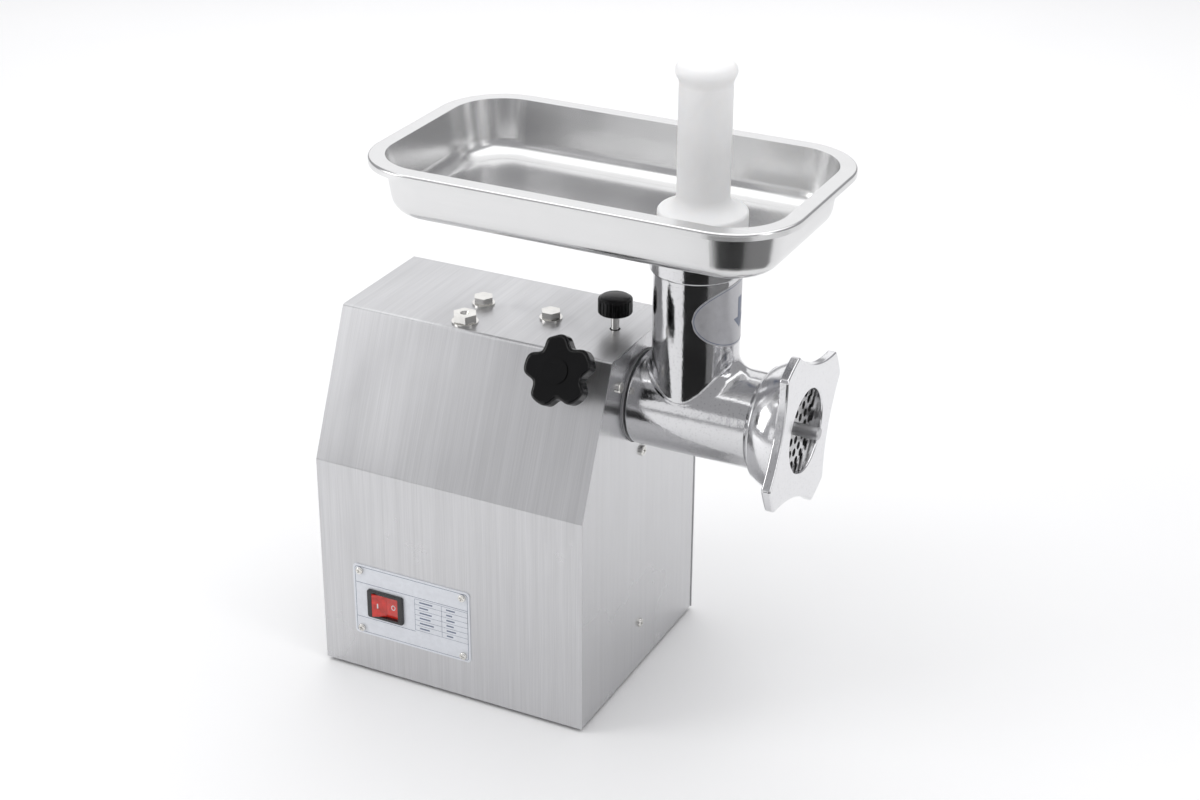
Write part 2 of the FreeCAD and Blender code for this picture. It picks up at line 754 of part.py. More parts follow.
def rotor_core():
    """Squirrel-cage rotor with its end rings."""
    outer = motor_shaft_radius + 26.5 - air_gap
    core = tube_x(outer, motor_shaft_radius + 2.0 + seat_fit, stack_start, stack_end, motor_z)
    rings = [tube_x(outer - 1.0, outer - 10.0, x0, x1, motor_z)
             for x0, x1 in ((stack_start - 5.0, stack_start + 0.1), (stack_end - 0.1, stack_end + 5.0))]
    return core.fuse(rings)


def motor_pinion():
    pitch = gear_pair_radii(first_teeth)[0]
    pinion = gear(first_teeth[0], pitch, first_start, first_end, motor_z, 90.0)
    return pinion.cut(rod_x(motor_shaft_radius + seat_fit, first_start - 1, first_end + 1, motor_z))


def cooling_fan():
    """Radial fan: a disc with straight blades on its motor side."""
    x1 = rear_bell_end - 2.0
    disc = rod_x(45.0, x1 - 10.0, x1 - 8.0, motor_z).fuse(rod_x(10.0, x1 - 10.0, x1, motor_z))
    for k in range(9):
        blade = block(x1 - 8.5, x1 - 1.0, 9.0, 43.0, -0.8, 0.8)
        blade.rotate(vec(0, 0, 0), vec(1, 0, 0), 40.0 * k)
        blade.translate(vec(0, 0, motor_z))
        disc = disc.fuse(blade)
    return disc.cut(rod_x(motor_shaft_radius + seat_fit, x1 - 12, x1 + 2, motor_z))


def cradle_ribs():
    return (stack_start + 5.0, stack_end - 9.0)


def cradle_screw_places():
    x0, x1 = cradle_ribs()
    return [(x, y) for x in (x0 + 10.0, x1 - 6.0) for y in (-32.0, 32.0)]


def motor_cradle():
    """Bent saddle that carries the motor's stack on the base plate."""
    floor = base_z + sheet
    x0, x1 = cradle_ribs()
    saddle = block(x0, x1 + 3.0, -40.0, 40.0, floor, floor + 2.0)
    for x in (x0, x1):
        saddle = saddle.fuse(block(x, x + 3.0, -40.0, 40.0, floor, motor_z - motor_radius + 14.0))
    saddle = saddle.cut(rod_x(motor_radius + seat_fit, x0 - 5, x1 + 8, motor_z))
    return saddle.cut([rod_z(2.1, floor - 1, floor + 4, x, y) for x, y in cradle_screw_places()])


def motor_hanger():
    """Strap from the flat top down to the motor's stack, tapped for the top bolt."""
    x, y = top_bolt_places()[1]
    under = top_z - sheet
    pad = block(x - 8.0, x + 8.0, y - 10.0, y + 10.0, under - 6.0, under)
    web = block(x - 8.0, x - 5.0, -14.0, 14.0, motor_z + motor_radius - 4.0, under)
    saddle = tube_x(motor_radius + 3.0, motor_radius - 3.0, x - 16.0, x + 12.0, motor_z)
    saddle = saddle.common(block(x - 20.0, x + 20.0, -16.0, 16.0, motor_z, motor_z + 2 * motor_radius))
    hanger = pad.fuse([web, saddle])
    hanger = hanger.cut(rod_x(motor_radius + seat_fit, x - 20, x + 20, motor_z))
    return hanger.cut(rod_z(3.0 + running_fit, under - 8, under + 1, x, y))


def base_screws():
    """Screws of the feet, the motor cradle and the capacitor clamp, all driven from below."""
    screws = [pan_screw(4.0, 2.6, 2.0, 10.0, vec(x, y, foot_screw_seat), vec(0, 0, -1))
              for x, y in foot_places()]
    for x, y in cradle_screw_places() + [clamp_screw_place()]:
        screws.append(pan_screw(3.8, 2.4, 2.0, 9.0, vec(x, y, base_z), vec(0, 0, -1)))
    return Part.makeCompound(screws)


def chassis_nuts():
    """Nuts of the feet, the cradle, the capacitor clamp, the base plate's tabs and the earth bolt."""
    floor = base_z + sheet
    seats = [(x, y, floor) for x, y in foot_places()]
    seats += [(x, y, floor + 2.0) for x, y in cradle_screw_places() + [clamp_screw_place()]]
    nuts = [hexagon(7.0, vec(x, y, z), vec(0, 0, 1), 3.2).cut(rod_z(2.0 + seat_fit, z - 1, z + 5, x, y))
            for x, y, z in seats]
    inner = panel_inner - 0.1 - sheet
    for side in (-1, 1):
        nut = hexagon(7.0, vec(side * inner, 0, base_z + end_screw_rise), vec(-side, 0, 0), 3.0)
        nuts.append(nut.cut(rod_x(1.85 + seat_fit, rear_end, drive_end, base_z + end_screw_rise)))
    x, y = earth_bolt_place()
    under = top_z - sheet
    nuts.append(hexagon(10.0, vec(x, y, under - 5.0), vec(0, 0, 1), 5.0)
                .cut(rod_z(3.0 + seat_fit, under - 6, under + 1, x, y)))
    return Part.makeCompound(nuts)


# ---- gearbox -------------------------------------------------------------------------------
def case_face(inset, x):
    """Gearbox outline in a plane across X: two full-size rounds and a small one, hulled."""
    big = case_radius - inset
    small = pinion_radius - inset
    lean = math.asin((big - small) / gear_centre)
    c, s = math.cos(lean), math.sin(lean)

    def arc(a, b, d):
        return Part.Arc(vec(x, *a), vec(x, *b), vec(x, *d)).toShape()

    def line(a, b):
        return Part.makeLine(vec(x, *a), vec(x, *b))

    edges = [arc((big, head_z), (0, head_z + big), (-big, head_z)),
             arc((-small * c, motor_z - small * s), (0, motor_z - small), (small * c, motor_z - small * s))]
    for side in (-1, 1):
        shoulder = (side * big, lay_z)
        turned = (side * big * math.cos(lean / 2), lay_z - big * math.sin(lean / 2))
        waist = (side * big * c, lay_z - big * s)
        edges.append(line((side * big, head_z), shoulder))
        edges.append(arc(shoulder, turned, waist))
        edges.append(line(waist, (side * small * c, motor_z - small * s)))
    return Part.Face(Part.Wire(Part.__sortEdges__(edges)))


def cover_bolt_places():
    places = []
    for angle in (20.0, 160.0):
        turn = math.radians(angle)
        reach = case_radius + 4.8
        places.append((reach * math.cos(turn), head_z + reach * math.sin(turn)))
    for side in (-1, 1):
        places.append((side * (case_radius + 4.8), lay_z))
        turn = math.radians(45.0)
        places.append((side * (pinion_radius + 4.5) * math.cos(turn),
                       motor_z - (pinion_radius + 4.5) * math.sin(turn)))
    return places


def gearbox_cover():
    """Cover between the motor and the gears: carries the rear bearings and the motor's bolts."""
    cover = case_face(0, cover_rear).extrude(vec(cover_thickness, 0, 0))
    cover = cover.fuse(rod_x(motor_radius, cover_rear, cover_front, motor_z))
    cover = cover.fuse([rod_x(6.5, cover_rear, cover_front, z, y) for y, z in bolt_places()])
    cover = cover.fuse([rod_x(6.0, cover_rear, cover_front, z, y) for y, z in cover_bolt_places()])
    cover = cover.fuse(rod_x(21.5, cover_rear - 7.0, cover_rear + 1, head_z))
    cover = cover.fuse(rod_x(11.0, cover_front - 1, cover_front + 1.5, lay_z))
    cutters = [rod_x(17.5 + seat_fit, cover_front - 11.0, cover_front + 1, head_z),
               rod_x(8.0 + seat_fit, cover_front - 5.0, cover_front + 3, lay_z),
               rod_x(9.0, cover_rear - 1, cover_front - 4.0, motor_z),
               rod_x(11.0 + seat_fit, cover_front - 4.0, cover_front + 1, motor_z)]
    cutters += [rod_x(2.5, cover_rear - 1, cover_front - 0.9, z, y) for y, z in bolt_places()]
    cutters += [rod_x(2.5, cover_rear + 1.5, cover_front + 1, z, y) for y, z in cover_bolt_places()]
    return cover.cut(cutters)


def gearbox_gasket():
    ring = case_face(0, cover_front).cut(case_face(case_wall, cover_front))
    ring = ring.extrude(vec(gasket_thickness, 0, 0))
    lugs = [rod_x(6.0, cover_front, case_rear, z, y) for y, z in cover_bolt_places()]
    inside = case_face(case_wall, cover_front - 1).extrude(vec(3, 0, 0))
    ring = ring.fuse(lugs).cut(inside)
    return ring.cut([rod_x(2.6, cover_front - 1, case_rear + 1, z, y) for y, z in cover_bolt_places()])


def gearbox_housing():
    """Cast gearbox with the output bearing, the socket for the head and its clamp bosses."""
    body = case_face(0, case_rear).extrude(vec(wall_rear + 5.0 - case_rear, 0, 0))
    body = body.cut(case_face(case_wall, case_rear - 1).extrude(vec(wall_rear - case_rear + 1, 0, 0)))
    socket = spigot_radius + socket_wall
    face = drive_end + 0.4
    parts = [rod_x(socket, wall_rear, face, head_z), rod_x(11.0, wall_rear, wall_rear + 10.0, lay_z)]
    inner = case_face(case_wall, case_rear - 1).extrude(vec(20, 0, 0))
    parts += [rod_x(6.0, case_rear, case_rear + 6.0, z, y).cut(inner) for y, z in cover_bolt_places()]
    for y, z in flange_screw_places():
        parts.append(rod_x(7.0, panel_inner - 9.0, panel_inner, z, y))
    for angle in (30.0, 150.0, 270.0):
        web = block(panel_inner - 9.0, panel_inner, 30.0, flange_screw_circle, -7.0, 7.0)
        web.rotate(vec(0, 0, 0), vec(1, 0, 0), angle)
        web.translate(vec(0, 0, head_z))
        parts.append(web)
    parts.append(rod_star(11.0, spigot_radius + 2.0, spigot_radius + 18.0))
    parts.append(rod_z(8.0, head_z + spigot_radius + 2.0, top_z - sheet - 2.0, top_knob_x, 0))
    bolt_x, bolt_y = top_bolt_places()[0]
    parts.append(rod_z(6.5, head_z + case_radius - 3.5, top_z - sheet, bolt_x, bolt_y)
                 .cut(block(-drive_end, case_rear, -50, 50, 0, top_z)))
    body = body.fuse(parts)
    cutters = [rod_x(20.0 + seat_fit, wall_rear - 1, wall_rear + 12.0, head_z),
               rod_x(17.5 + seat_fit, wall_rear + 12.0, wall_front + 1, head_z),
               rod_x(spigot_radius + running_fit, wall_front, face + 1, head_z),
               rod_x(8.0 + seat_fit, wall_rear - 1, wall_rear + 8.0, lay_z),
               rod_star(star_stud_radius + running_fit, 10.0, 60.0),
               rod_z(top_stud_radius + running_fit, head_z + 10.0, top_z, top_knob_x, 0),
               rod_z(3.0 + running_fit, top_z - 7.0, top_z, bolt_x, bolt_y)]
    cutters += [rod_x(2.5 + running_fit, case_rear - 1, case_rear + 7, z, y) for y, z in cover_bolt_places()]
    cutters += [rod_x(2.2 + seat_fit, panel_inner - 8.0, panel_inner + 1, z, y)
                for y, z in flange_screw_places()]
    return body.cut(cutters)


def cover_bolts():
    """Bolts that hold the gearbox to its cover."""
    head = case_rear + 6.0
    bolts = []
    for y, z in cover_bolt_places():
        bolt = rod_x(2.5 - seat_fit, cover_rear + 2.0, head, z, y)
        bolts.append(bolt.fuse(hexagon(8.0, vec(head, y, z), vec(1, 0, 0), 3.5)))
    return Part.makeCompound(bolts)


def output_bearings():
    front = ball_bearing(output_radius + seat_fit, 20.0, wall_rear, wall_rear + 12.0, head_z)
    rear = ball_bearing(output_tail_radius + seat_fit, 17.5, cover_front - 11.0, cover_front, head_z)
    return Part.makeCompound([front, rear])


def layshaft_bushes():
    bushes = [tube_x(8.0, layshaft_radius + running_fit, x0, x1, lay_z)
              for x0, x1 in ((cover_front - 5.0, cover_front + 1.5), (wall_rear, wall_rear + 8.0))]
    return Part.makeCompound(bushes)


def oil_seals():
    """Lip seals on the output hub and on the motor shaft."""
    output = tube_x(17.5, hub_radius - 1.0 + running_fit, wall_rear + 12.0, wall_front, head_z)
    motor = tube_x(11.0, motor_shaft_radius + running_fit, cover_front - 4.0, cover_front, motor_z)
    return Part.makeCompound([output, motor])


def layshaft():
    return rod_x(layshaft_radius, cover_front - 4.5, wall_rear + 7.5, lay_z)


def layshaft_gear():
    pitch = gear_pair_radii(first_teeth)[1]
    half_step = 180.0 / first_teeth[1]
    wheel = gear(first_teeth[1], pitch, first_start, first_end, lay_z, -90.0 + half_step)
    wheel = wheel.cut(rod_x(layshaft_radius + seat_fit, first_start - 1, first_end + 1, lay_z))
    return wheel.cut([tube_x(pitch - 7.0, 11.0, x0, x1, lay_z)
                      for x0, x1 in ((first_start - 1, first_start + 2), (first_end - 2, first_end + 1))])


def layshaft_pinion():
    pitch = gear_pair_radii(second_teeth)[0]
    pinion = gear(second_teeth[0], pitch, second_start, second_end, lay_z, 90.0)
    return pinion.cut(rod_x(layshaft_radius + seat_fit, second_start - 1, second_end + 1, lay_z))


def output_gear():
    pitch = gear_pair_radii(second_teeth)[1]
    half_step = 180.0 / second_teeth[1]
    wheel = gear(second_teeth[1], pitch, second_start, second_end, head_z, -90.0 + half_step)
    return wheel.cut(rod_x(output_radius + seat_fit, second_start - 1, second_end + 1, head_z))


def output_shaft():
    """Shaft with a socket hub that drives the auger's square tail."""
    tail = rod_x(output_tail_radius, cover_front - 11.0, first_end + 1.0, head_z)
    seat = rod_x(output_radius, first_end + 1.0, wall_rear + 12.0, head_z)
    neck = rod_x(hub_radius - 1.0, wall_rear + 12.0, spigot_end, head_z)
    hub = rod_x(hub_radius, spigot_end, spigot_end + tang_length + 4.0, head_z)
    shaft = tail.fuse([seat, neck, hub])
    half = tang_side / 2 + 0.15
    return shaft.cut(block(spigot_end + 2.0, drive_end, -half, half, head_z - half, head_z + half))


# ---- grinding head --------------------------------------------------------------------------
def grinder_head():
    """Cast head: spigot, barrel, threaded front and feed neck, bored through."""
    barrel = rod_x(barrel_radius, barrel_start, barrel_end, head_z)
    shoulder = edge_filter(barrel, lambda p: abs(p.x - barrel_start) < 0.01)
    barrel = barrel.makeFillet(barrel_rear_fillet, shoulder)
    neck = rod_z(neck_radius, head_z, neck_top, neck_x, 0)
    body = graded_blend(barrel.fuse(neck), neck_x, *neck_fillet)
    rim = rod_z(neck_rim_radius, neck_top - neck_rim_height, neck_top, neck_x, 0)
    rim = rim.makeFillet(1.6, [e for e in rim.Edges if e.Curve.TypeId == "Part::GeomCircle"])
    cone = Part.makeCone(barrel_radius, thread_radius, thread_start - barrel_end,
                         vec(barrel_end, 0, head_z), vec(1, 0, 0))
    thread = rod_x(thread_radius, thread_start, thread_start + thread_length, head_z)
    spigot = rod_x(spigot_radius, spigot_end, barrel_start + 4.0, head_z)
    spigot = spigot.makeFillet(1.0, edge_filter(spigot, lambda p: abs(p.x - spigot_end) < 0.01))
    body = body.fuse([rim, cone, thread, spigot])
    hollow = barrel_start + 1.0
    cutters = [rod_x(barrel_bore, hollow, plate_back + 1, head_z),
               rod_x(knife_radius + 1.5, plate_back - knife_thickness - 3.0, plate_back + 1, head_z),
               rod_x(plate_radius + 0.05, plate_back, plate_front, head_z),
               rod_z(neck_bore, head_z, neck_top + 1, neck_x, 0),
               rod_x(12.0 + seat_fit, spigot_end + tang_length + 6.0, hollow + 1, head_z),
               rod_x(hub_radius + 1.5, spigot_end - 1, spigot_end + tang_length + 6.0, head_z),
               rod_x(1.5, plate_back - 5.0, plate_back + 1, head_z - plate_radius + 1.6)]
    return body.cut(cutters)


def auger_bush():
    start = spigot_end + tang_length + 6.0
    return tube_x(12.0, 9.0 + running_fit, start, barrel_start + 1.0, head_z)


def thrust_washer():
    return tube_x(thrust_radius, 9.3, barrel_start + 1.0, barrel_start + 2.5, head_z)


def plate_pin():
    """Pin in the head that keeps the plate from turning."""
    return rod_x(1.5 - seat_fit, plate_back - 5.0, plate_back + 4.0, head_z - plate_radius + 1.6)


def feed_label():
    """Thin oval label bent round the neck."""
    height = head_z + label_rise
    outer = rod_z(neck_radius + label_thickness + 0.05, height - 40, height + 40, neck_x, 0)
    band = outer.cut(rod_z(neck_radius + 0.05, height - 41, height + 41, neck_x, 0))
    oval = Part.Ellipse(vec(0, 0, 0), label_half[1], label_half[0])
    cutter = Part.Face(Part.Wire(oval.toShape())).extrude(vec(0, 0, neck_radius + 10))
    cutter.rotate(vec(0, 0, 0), vec(0, 1, 0), -90.0)
    cutter.rotate(vec(0, 0, 0), vec(0, 0, 1), 180.0 + label_turn)
    cutter.translate(vec(neck_x, 0, height))
    return band.common(cutter)


def auger():
    """Feed screw: a tapering core with one helical flight, a thrust collar and a square tail."""
    start = barrel_start + 2.8
    end = plate_back - knife_thickness - 0.6
    core = Part.makeCone(auger_core, auger_core + 4.0, end - start, vec(start, 0, head_z), vec(1, 0, 0))
    collar = rod_x(thrust_radius, start, start + 4.0, head_z)
    journal = rod_x(9.0, spigot_end + tang_length + 4.5, start + 1, head_z)
    half = tang_side / 2
    tang = block(spigot_end + 2.5, spigot_end + tang_length + 5.0,
                 -half, half, head_z - half, head_z + half)
    nose = rod_x(12.0, end - 1.0, end + 0.3, head_z)
    square = block(end, plate_back - 0.4, -6.0, 6.0, head_z - 6.0, head_z + 6.0)
    screw = core.fuse([collar, journal, tang, nose, square])
    run = end - start - 8.0
    path = Part.makeHelix(auger_pitch, run, auger_core)
    inner, outer = auger_core - 4.0, barrel_bore - loose_fit
    half = flight_width / 2
    points = [vec(inner, 0, -half - 1.0), vec(outer, 0, -half + 0.6),
              vec(outer, 0, half - 0.6), vec(inner, 0, half + 1.0)]
    section = Part.makePolygon(points + points[:1])
    flight = Part.Wire(path).makePipeShell([section], True, True)
    flight.rotate(vec(0, 0, 0), vec(0, 1, 0), 90.0)
    flight.translate(vec(start + 4.0, 0, head_z))
    return screw.fuse(flight)


def auger_stud():
    """Front stud of the auger, through the middle of the plate."""
    tip = ring_front + stud_show
    stud = rod_x(stud_radius, plate_back - 0.4, tip, head_z)
    return stud.makeChamfer(0.8, edge_filter(stud, lambda p: abs(p.x - tip) < 0.01))


def knife():
    """Four-bladed knife on the auger's square."""
    x1 = plate_back - 0.15
    x0 = x1 - knife_thickness
    half = 6.0 + seat_fit
    body = rod_x(13.5, x0, x1, head_z)
    for k in range(4):
        points = [vec(x0 + 1.0, 5.0, -5.5), vec(x0 + 1.0, knife_radius, -3.0),
                  vec(x0 + 1.0, knife_radius, 5.0), vec(x0 + 1.0, 5.0, 5.5)]
        blade = prism(points, vec(knife_thickness - 1.0, 0, 0))
        blade.rotate(vec(0, 0, 0), vec(1, 0, 0), 90.0 * k + 20.0)
        blade.translate(vec(0, 0, head_z))
        body = body.fuse(blade)
    return body.cut(block(x0 - 1, x1 + 1, -half, half, head_z - half, head_z + half))


def grinder_plate():
    """Perforated plate with its pin notch and the bore for the auger stud."""
    plate = rod_x(plate_radius, plate_back, plate_front, head_z)
    plate = plate.makeChamfer(0.4, [e for e in plate.Edges if e.Curve.TypeId == "Part::GeomCircle"])
    holes = [rod_x(stud_radius + running_fit, plate_back - 1, plate_front + 1, head_z)]
    for share, count in plate_ring_shares:
        radius = share * plate_radius
        for k in range(count):
            turn = 2 * math.pi * (k + 0.5) / count
            holes.append(rod_x(plate_hole_radius, plate_back - 1, plate_front + 1,
                               head_z + radius * math.sin(turn), radius * math.cos(turn)))
    notch = block(plate_back - 1, plate_back + 4.5, -1.8, 1.8,
                  head_z - plate_radius - 1, head_z - plate_radius + 3.4)
    return plate.cut(holes + [notch])


def ring_outline(x):
    """Four flat-ended lobes joined by shallow hollow arcs, in a plane across X."""
    def at(radius, degrees):
        turn = math.radians(degrees)
        return vec(x, radius * math.cos(turn), head_z + radius * math.sin(turn))

    edges = []
    side = ring_lobe_radius / math.cos(math.radians(ring_lobe_half_angle)) - 0.6
    for k in range(4):
        middle = ring_lobe_turn + 90.0 * k
        left = middle - ring_lobe_half_angle
        right = middle + ring_lobe_half_angle
        edges.append(Part.Arc(at(side, left), at(ring_lobe_radius, middle), at(side, right)).toShape())
        edges.append(Part.Arc(at(side, right), at(ring_body_radius, middle + 45.0),
                              at(side, left + 90.0)).toShape())
    return Part.Face(Part.Wire(edges))


def ring_nut():
    """Bell-shaped ring nut with a lobed flange, threaded inside, lipped in front."""
    flange = ring_outline(ring_front - ring_flange).extrude(vec(ring_flange, 0, 0))
    corners = [e for e in flange.Edges
               if len(e.Vertexes) == 2 and abs(e.Vertexes[0].X - e.Vertexes[1].X) > ring_flange - 0.1]
    flange = flange.makeFillet(4.0, corners)
    back = ring_front - ring_flange
    rims = edge_filter(flange, lambda p: min(abs(p.x - ring_front), abs(p.x - back)) < 0.01)
    flange = flange.makeFillet(1.5, rims)
    rear = thread_radius + 3.0
    shoulder = ring_front - ring_flange + 1.5
    profile = [Part.makeLine(vec(ring_back, 0, 0), vec(ring_back, 0, rear - 1.5)),
               Part.Arc(vec(ring_back, 0, rear - 1.5), vec(ring_back + 0.5, 0, rear - 0.4),
                        vec(ring_back + 1.5, 0, rear)).toShape(),
               Part.Arc(vec(ring_back + 1.5, 0, rear), vec(ring_back + 10.0, 0, rear + 4.6),
                        vec(shoulder, 0, ring_body_radius)).toShape(),
               Part.makeLine(vec(shoulder, 0, ring_body_radius), vec(shoulder, 0, 0)),
               Part.makeLine(vec(shoulder, 0, 0), vec(ring_back, 0, 0))]
    bell_body = Part.Face(Part.Wire(profile)).revolve(vec(0, 0, 0), vec(1, 0, 0), 360)
    bell_body.translate(vec(0, 0, head_z))
    bores = [rod_x(thread_radius + running_fit, ring_back - 1, plate_front + 0.2, head_z),
             rod_x(ring_opening, plate_front, ring_front + 1, head_z)]
    ring = flange.cut(bores).fuse(bell_body.cut(bores))
    mouth = [e for e in ring.Edges if e.Curve.TypeId == "Part::GeomCircle"
             and abs(e.Curve.Radius - ring_opening) < 0.01 and abs(e.Curve.Center.x - ring_front) < 0.01]
    return ring.makeFillet(1.2, mouth)


# ---- tray and pusher --------------------------------------------------------------------------
def rounded_rect(half_x, half_y, radius, z):
    """Closed wire of a rounded rectangle about the tray's centre."""
    k = radius * (1 - math.sqrt(0.5))
    edges = []
    corners = ((1, 1), (-1, 1), (-1, -1), (1, -1))
    spots = []
    for sx, sy in corners:
        a = vec(tray_x + sx * half_x, sy * (half_y - radius), z)
        m = vec(tray_x + sx * (half_x - k), sy * (half_y - k), z)
        b = vec(tray_x + sx * (half_x - radius), sy * half_y, z)
        spots.append((a, m, b) if sx * sy > 0 else (b, m, a))
    for k, spot in enumerate(spots):
        edges.append(Part.Arc(*spot).toShape())
        edges.append(Part.makeLine(spot[2], spots[(k + 1) % 4][0]))
    return Part.Wire(edges)


def basin(offset, top, bottom):
    """Solid of the tray's basin, moved in by offset."""
    half_x = tray_length / 2 - tray_rim - offset
    half_y = tray_width / 2 - tray_rim - offset
    corner = tray_corner - tray_rim - offset
    upper = rounded_rect(half_x, half_y, corner, top)
    lower = rounded_rect(half_x - tray_draft, half_y - tray_draft, corner - tray_draft, bottom)
    solid = Part.makeLoft([upper, lower], True, True)
    floor = edge_filter(solid, lambda p: abs(p.z - bottom) < 0.01)
    return solid.makeFillet(tray_bottom_fillet - offset, floor)


def feed_tray():
    """Pressed tray with a rolled rim and a short spigot that drops into the neck."""
    rim = Part.Face(rounded_rect(tray_length / 2, tray_width / 2, tray_corner, tray_top - tray_lip))
    rim = rim.extrude(vec(0, 0, tray_lip))
    rim = rim.makeFillet(1.8, edge_filter(rim, lambda p: abs(p.z - tray_top) < 0.01))
    under = Part.Face(rounded_rect(tray_length / 2 - 1.2, tray_width / 2 - 1.2, tray_corner - 1.2,
                                   tray_top - tray_lip - 1))
    rim = rim.cut(under.extrude(vec(0, 0, tray_lip)))
    tray = rim.fuse(basin(-tray_sheet, tray_top, tray_bottom))
    tray = tray.cut(basin(0, tray_top + 0.001, tray_floor))
    spigot = rod_z(neck_bore - 0.2, tray_bottom - tray_spigot_length, tray_bottom + 0.5, neck_x, 0)
    tray = tray.fuse(spigot)
    return tray.cut(rod_z(neck_bore - 1.1, tray_bottom - 20, tray_top, neck_x, 0))


def pusher():
    """Turned plastic pusher: insert, resting collar, shaft and a flat bulb to press on."""
    z0 = pusher_rest - pusher_insert_length
    collar_top = pusher_rest + pusher_collar_height
    top = tray_floor + pusher_height
    bulb = Part.BSplineCurve()
    bulb.interpolate([vec(pusher_shaft_radius, 0, top - 17.0), vec(pusher_shaft_radius + 0.5, 0, top - 12.5),
                      vec(pusher_bulb_radius, 0, top - 7.0), vec(pusher_bulb_radius - 2.2, 0, top - 2.0),
                      vec(13.0, 0, top - 0.5), vec(0, 0, top)])
    shoulder = Part.BSplineCurve()
    shoulder.interpolate([vec(pusher_collar_radius - 2.0, 0, collar_top), vec(24.0, 0, collar_top + 2.2),
                          vec(pusher_shaft_radius + 1.6, 0, collar_top + 5.5),
                          vec(pusher_shaft_radius, 0, collar_top + 10.0)])
    insert = pusher_insert_radius
    collar = pusher_collar_radius
    shaft = pusher_shaft_radius

    def line(r0, h0, r1, h1):
        return Part.makeLine(vec(r0, 0, h0), vec(r1, 0, h1))

    def arc(r0, h0, r1, h1, r2, h2):
        return Part.Arc(vec(r0, 0, h0), vec(r1, 0, h1), vec(r2, 0, h2)).toShape()

    profile = [line(0, z0, insert - 3.0, z0),
               arc(insert - 3.0, z0, insert - 0.9, z0 + 0.9, insert, z0 + 3.0),
               line(insert, z0 + 3.0, insert, pusher_rest),
               line(insert, pusher_rest, collar - 0.8, pusher_rest),
               line(collar - 0.8, pusher_rest, collar, pusher_rest + 0.8),
               line(collar, pusher_rest + 0.8, collar, collar_top - 2.0),
               arc(collar, collar_top - 2.0, collar - 0.6, collar_top - 0.6, collar - 2.0, collar_top),
               shoulder.toShape(),
               line(shaft, collar_top + 10.0, shaft, top - 17.0),
               bulb.toShape(),
               line(0, top, 0, z0)]
    solid = Part.Face(Part.Wire(profile)).revolve(vec(0, 0, 0), vec(0, 0, 1), 360)
    solid.translate(vec(pusher_x, 0, 0))
    return solid


# ---- clamp screws and top bolts -----------------------------------------------------------------
def star_stud():
    return rod_star(star_stud_radius, screw_tip, star_reach - 4.0)


def star_knob():
    """Five-lobed knob with a hub, moulded on its stud's axis."""
    lobes = 5
    swell = 3.2
    valley = star_radius - 2 * swell
    points = []
    for k in range(lobes):
        flank = star_radius - 1.4
        for share, radius in ((0.0, star_radius), (0.25, flank), (0.5, valley), (0.75, flank)):
            turn = math.radians(star_first_lobe + 360.0 / lobes * (k + share))
            points.append(vec(radius * math.cos(turn), radius * math.sin(turn), 0))
    rim = Part.BSplineCurve()
    rim.interpolate(points, PeriodicFlag=True)
    disc = Part.Face(Part.Wire(rim.toShape())).extrude(vec(0, 0, star_thickness))
    disc = disc.makeFillet(3.0, edge_filter(disc, lambda p: min(abs(p.z), abs(p.z - star_thickness)) < 0.01))
    hub = rod_z(12.0, -7.0, 2.0, 0, 0)
    crown = rod_z(9.0, star_thickness - 1, star_thickness + 1.0, 0, 0)
    knob = disc.fuse([hub, crown]).cut(rod_z(star_stud_radius + running_fit, -8.0, 4.0, 0, 0))
    up = vec(0, math.sin(math.radians(star_angle)), math.cos(math.radians(star_angle)))
    matrix = FreeCAD.Matrix(-1, 0, star_way.x, 0, 0, up.y, star_way.y, 0,
                            0, up.z, star_way.z, 0, 0, 0, 0, 1)
    knob = knob.transformGeometry(matrix)
    knob.translate(vec(star_x, 0, head_z) + star_way * (star_reach - star_thickness / 2))
    return knob


def top_stud():
    return rod_z(top_stud_radius, head_z + screw_tip, top_z + top_knob_stand + 6.0, top_knob_x, 0)


def top_knob():
    """Small knurled cap nut."""
    z0 = top_z + top_knob_stand
    teeth = 24
    knob = rod_z(top_knob_radius, z0, z0 + top_knob_height, top_knob_x, 0)
    knob = knob.makeFillet(1.2, [e for e in knob.Edges if e.Curve.TypeId == "Part::GeomCircle"])
    grooves = []
    reach = top_knob_radius + 0.2
    for k in range(teeth):
        turn = 2 * math.pi * k / teeth
        grooves.append(rod_z(0.8, z0 - 1, z0 + top_knob_height + 1,
                             top_knob_x + reach * math.cos(turn), reach * math.sin(turn)))
    return knob.cut(grooves + [rod_z(top_stud_radius + running_fit, z0 - 1, z0 + 6.5, top_knob_x, 0)])


def top_bolts():
    """Hexagon bolts through the flat top."""
    bolts = []
    for x, y in top_bolt_places():
        seat = top_z + 1.2
        bolt = hexagon(13.0, vec(x, y, seat), vec(0, 0, 1), 5.0).fuse(rod_z(3.0, seat - 7.4, seat, x, y))
        bolts.append(bolt)
    return Part.makeCompound(bolts)


def earth_bolt():
    """Larger hexagon bolt with a drilled head, for the earth bond."""
    x, y = earth_bolt_place()
    seat = top_z + 1.2
    bolt = hexagon(16.0, vec(x, y, seat), vec(0, 0, 1), 6.0).fuse(rod_z(3.0, seat - 14.0, seat, x, y))
    return bolt.cut(Part.makeCone(1.5, 3.6, 3.5, vec(x, y, seat + 2.6), vec(0, 0, 1)))


def top_washers():
    rings = []
    for (x, y), radius in zip(top_bolt_places() + [earth_bolt_place()], (8.4, 8.4, 9.8)):
        rings.append(rod_z(radius, top_z, top_z + 1.2, x, y).cut(rod_z(3.2, top_z - 1, top_z + 2, x, y)))
    return Part.makeCompound(rings)


